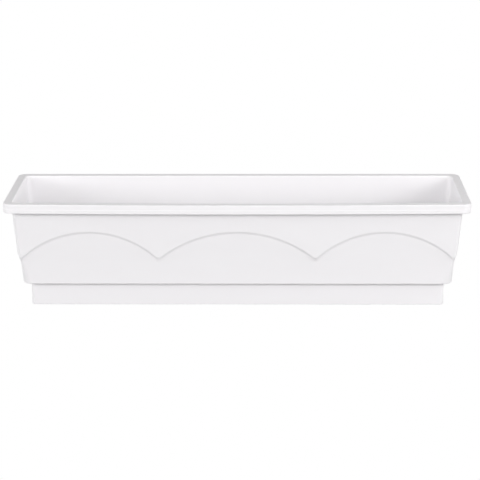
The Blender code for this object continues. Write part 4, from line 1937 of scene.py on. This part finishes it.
    def dress(self) -> None:
        """Builds and finishes every piece of the filler."""
        self.dress_tube()
        self.dress_strainer()
        self.dress_collar()
        self.dress_cap()
        self.dress_pin()


@dataclass
class LevelIndicator(StandTube):
    """The level indicator: guide tube, clear dome, and the float with its rod and tip."""

    node: str = "indicator_tube"
    strainer: str = "indicator_strainer"
    body: str = "right_separator"
    float_body: str = "level_float"
    spigot: float = 0.0060
    web: float = 0.0020
    guide_hole: float = 0.0022
    dome_wall: float = 0.0016
    dome_corner: float = 0.0045
    rise: float = 0.022
    beads_at: Flat = (0.085, 0.112)
    rod_hole: float = 0.0018
    dome_gap: float = 0.0006
    fit: float = 0.0003
    mark: Flat = (0.0003, 0.0006)

    def dress_tube(self) -> None:
        """Builds the guide tube with the web that guides the rod."""
        top = self.high.z
        web_top = top - self.spigot - 0.001
        profile = self.foot() + self.beads(self.beads_at)
        profile += [
            (self.out, top, 0.0006),
            (self.bore, top, 0.0004),
            (self.bore, web_top, 0.0004),
            (self.guide_hole, web_top, 0.0003),
            (self.guide_hole, web_top - self.web, 0.0003),
            (self.bore, web_top - self.web, 0.0004),
        ]
        tube = turned("guide_tube", profile, self.centre)
        tube.cut(self.inlets()).shade().wear(PALE_TUBE, self.body, self.node)

    def dress_dome(self) -> None:
        """Builds the clear dome, with a raised ring at each end of the scale."""
        low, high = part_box("indicator_window")
        out, stem = self.out - self.dome_gap, self.bore - self.fit
        inner = out - self.dome_wall
        seat = self.high.z + self.fit
        first = middle("float_tip").z
        profile = [
            (inner, low.z, 0.0002),
            (stem, low.z, 0.0003),
            (stem, seat, 0.0002),
            (out, seat, 0.0003),
        ]
        crest, foot = self.mark
        for at in (first, first + self.rise):
            steps = ((out, -foot), (self.out, -crest), (self.out, crest), (out, foot))
            profile += [(radius, at + step, 0.0002) for radius, step in steps]
        profile += [
            (out, high.z, self.dome_corner),
            (CENTRE_HOLE, high.z, 0.0),
            (CENTRE_HOLE, high.z - self.dome_wall, 0.0),
            (inner, high.z - self.dome_wall, self.dome_corner - self.dome_wall),
        ]
        dome = turned("clear_dome", profile, self.centre, 72, steps=6)
        dome.shade().wear(CLEAR_DOME, self.body, "indicator_window")

    def dress_float(self) -> None:
        """Builds the foam float, its rod and the red tip with its groove."""
        radius, low, high = round_size("float_body")
        profile = [
            (self.rod_hole, low, 0.0003),
            (radius, low, 0.0014),
            (radius, high, 0.0014),
            (self.rod_hole, high, 0.0003),
        ]
        foam = turned("foam_float", profile, self.centre)
        foam.shade().wear(FLOAT_FOAM, self.float_body, "float_body")
        radius, low, high = round_size("float_rod")
        profile = [(radius * 0.5, low, 0.0), (radius, low + 0.0006, 0.0003)]
        profile += [(radius, high - 0.0006, 0.0003), (radius * 0.5, high, 0.0)]
        rod = spindle("float_wire", profile, self.centre, 32)
        rod.shade().wear(WIRE, self.float_body, "float_rod")
        radius, low, high = round_size("float_tip")
        groove = (low + high) / 2
        profile = [
            (self.rod_hole, low, 0.0002),
            (radius, low, 0.0008),
            (radius, groove - 0.0006, 0.0002),
            (radius - 0.0005, groove, 0.0002),
            (radius, groove + 0.0006, 0.0002),
            (radius, high, 0.0012),
            (CENTRE_HOLE, high, 0.0),
            (CENTRE_HOLE, high - 0.0012, 0.0),
            (self.rod_hole, high - 0.0014, 0.0),
        ]
        tip = turned("red_tip", profile, self.centre, 48)
        tip.shade().wear(RED_TIP, self.float_body, "float_tip")

    def dress(self) -> None:
        """Builds and finishes every piece of the indicator."""
        self.dress_tube()
        self.dress_strainer()
        self.dress_dome()
        self.dress_float()


# ---------------------------------------------------------------- the plugs


@dataclass
class Plug:
    """A push-in plug with a finger bar, and the rubber ring under its head."""

    node: str
    body: str
    head: float = 0.0070
    head_thick: float = 0.0030
    shank: float = 0.0042
    waist: float = 0.0003
    face_gap: float = 0.0003
    teeth: int = 24
    tooth: float = 0.0005
    tooth_out: float = 0.0003
    ring_gap: float = 0.0004
    bar: tuple[float, float, float] = (0.0055, 0.0012, 0.0010)
    bar_root: float = 0.0012

    def dress_plug(self) -> None:
        """Builds the plug: a notched head, a finger bar, and a shank with a barb."""
        low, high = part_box(self.node)
        centre = (middle(self.node).x, 0.0, middle(self.node + "_seal").z)
        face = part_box(self.node + "_seal")[1].y + self.face_gap
        top = face + self.head_thick
        profile = [
            (self.shank * 0.55, low.y, 0.0),
            (self.shank * 0.80, low.y, 0.0003),
            (self.shank, low.y + 0.0018, 0.0003),
            (self.shank - self.waist, low.y + 0.0026, 0.0002),
            (self.shank - self.waist, face, 0.0002),
            (self.head - 0.0003, face, 0.0003),
            (self.head, face + 0.0006, 0.0003),
            (self.head, top, 0.0008),
            (self.head - 0.0016, top, 0.0003),
            (self.head - 0.0020, top - 0.0005, 0.0003),
        ]
        plug = spindle(self.node + "_stopper", profile, centre, 72, Axis.Y)
        places = circle_places(centre, self.head + self.tooth_out, self.teeth, Axis.Y)
        ends = (face - 0.001, top - 0.0006)
        notches = [pole("notch", self.tooth, ends, at, 10, Axis.Y) for at in places]
        plug.cut(Piece.merged("notches", notches))
        section = rounded_rectangle(*self.bar, 5)
        plug.add(bar("bar", section, centre, (top - self.bar_root, high.y), Axis.Y))
        plug.soften(0.00022, 2, 50.0).shade().wear(GREY_PLATE, self.body, self.node)

    def dress_seal(self) -> None:
        """Builds the rubber ring with a round section."""
        name = self.node + "_seal"
        low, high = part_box(name)
        out = (high.x - low.x) / 2
        inner = self.shank + self.ring_gap
        profile = [(inner, low.y), (out, low.y), (out, high.y), (inner, high.y)]
        centre = (middle(name).x, 0.0, middle(name).z)
        ring = turned(name + "_ring", [(r, h, 0.0005) for r, h in profile], centre, 64, Axis.Y, 4)
        ring.shade(60.0).wear(BLACK_SEAL, self.body, name)

    def dress(self) -> None:
        """Builds and finishes the plug and its ring."""
        self.dress_plug()
        self.dress_seal()


# ---------------------------------------------------------------- the studio


@dataclass(frozen=True)
class Softbox:
    """A soft light: the direction it hangs in, in degrees round from the front and up, and its power.

    A glossy one also shows in the gloss of what it lights.
    """

    name: str
    azimuth: float
    elevation: float
    watts: float
    glossy: bool = True


SOFTBOXES = (
    Softbox("front", 0.0, 22.0, 14.4),
    Softbox("front_left", -28.0, 22.0, 14.2),
    Softbox("front_right", 28.0, 22.0, 7.0),
    Softbox("low_left", -55.0, 12.0, 26.6),
    Softbox("low_right", 55.0, 12.0, 24.5),
    Softbox("right", 55.0, 22.0, 20.7),
    Softbox("side_left", -82.0, 12.0, 19.3),
    Softbox("side_right", 82.0, 34.0, 15.9),
    Softbox("back_left", -145.0, 4.0, 34.0, glossy=False),
    Softbox("back_right", 145.0, 4.0, 34.0, glossy=False),
)


def away(azimuth: float, elevation: float) -> Vector:
    """The direction so many degrees round from the front and so many up."""
    turn, lift = math.radians(azimuth), math.radians(elevation)
    return Vector((math.sin(turn) * math.cos(lift), -math.cos(turn) * math.cos(lift), math.sin(lift)))


@dataclass
class Studio:
    """The floor, the lights and the camera."""

    focal: float = 124.6
    sensor: float = 36.0
    azimuth: float = 0.9
    elevation: float = 16.55
    distance: float = 2.7647
    target: Point = (0.00365, 0.0, 0.0917)
    roll: float = -0.23
    floor_half: float = 14.0
    floor_depths: Flat = (-0.02, -0.0001)
    far: float = 60.0
    surround: float = 0.392
    softbox_size: Flat = (1.6, 0.9)
    softbox_distance: float = 3.4

    def camera(self) -> None:
        """Places the camera round its target and makes it the scene's camera."""
        data = bpy.data.cameras.new("camera")
        data.lens = self.focal
        data.sensor_width = self.sensor
        data.clip_end = self.far
        eye = bpy.data.objects.new("camera", data)
        back = away(self.azimuth, self.elevation)
        eye.location = Vector(self.target) + back * self.distance
        level = back.to_track_quat("Z", "Y").to_matrix()
        eye.rotation_euler = (level @ Matrix.Rotation(math.radians(self.roll), 3, "Z")).to_euler()
        bpy.context.scene.collection.objects.link(eye)
        bpy.context.scene.camera = eye

    def hang(self, box: Softbox) -> None:
        """Hangs one soft light so that it looks at the planter."""
        data = bpy.data.lights.new(box.name, "AREA")
        data.shape = "RECTANGLE"
        data.size, data.size_y = self.softbox_size
        data.energy = box.watts
        lamp = bpy.data.objects.new(box.name, data)
        back = away(box.azimuth, box.elevation)
        lamp.location = Vector(self.target) + back * self.softbox_distance
        lamp.rotation_euler = back.to_track_quat("Z", "Y").to_euler()
        lamp.visible_glossy = box.glossy
        bpy.context.scene.collection.objects.link(lamp)

    def world(self) -> None:
        """An even pale surround, brighter to look at than to light with."""
        sky = bpy.data.worlds.new("studio")
        sky.use_nodes = True
        tree = Tree(sky.node_tree)
        backdrop = sky.node_tree.nodes["Background"]
        backdrop.inputs["Color"].default_value = (1.0, 1.0, 1.0, 1.0)
        seen = tree.add("ShaderNodeLightPath").outputs["Is Camera Ray"]
        tree.link(tree.spread(seen, self.surround, 1.0), backdrop.inputs["Strength"])
        bpy.context.scene.world = sky

    def floor(self) -> None:
        """Lays the seamless floor."""
        half = self.floor_half
        low, high = self.floor_depths
        ground = block("studio_floor", (-half, -half, low), (half, half, high))
        ground.obj.data.materials.append(Palette.get(FLOOR))

    def build(self) -> None:
        """Sets up everything round the planter."""
        self.camera()
        self.floor()
        self.world()
        for box in SOFTBOXES:
            self.hang(box)
        bpy.context.scene.view_settings.view_transform = "Standard"


# ---------------------------------------------------------------- the planter


def main() -> None:
    """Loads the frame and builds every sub-assembly in order."""
    logging.basicConfig(level=logging.INFO, format="%(name)s: %(message)s")
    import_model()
    Studio().build()
    BoxShell().dress()
    number = 1
    for node, body in (("separator_left", "left_separator"), ("separator_right", "right_separator")):
        SeparatorPlate(node, body).dress()
        for _ in range(2):
            SoilBasket(f"soil_basket_{number}", body).dress()
            WickStrip(f"wick_strip_{number}", body, node, seed=number).dress()
            number += 1
    Filler().dress()
    LevelIndicator().dress()
    Plug("drain_plug", "drain").dress()
    Plug("overflow_plug", "overflow").dress()


if __name__ == "__main__":
    main()
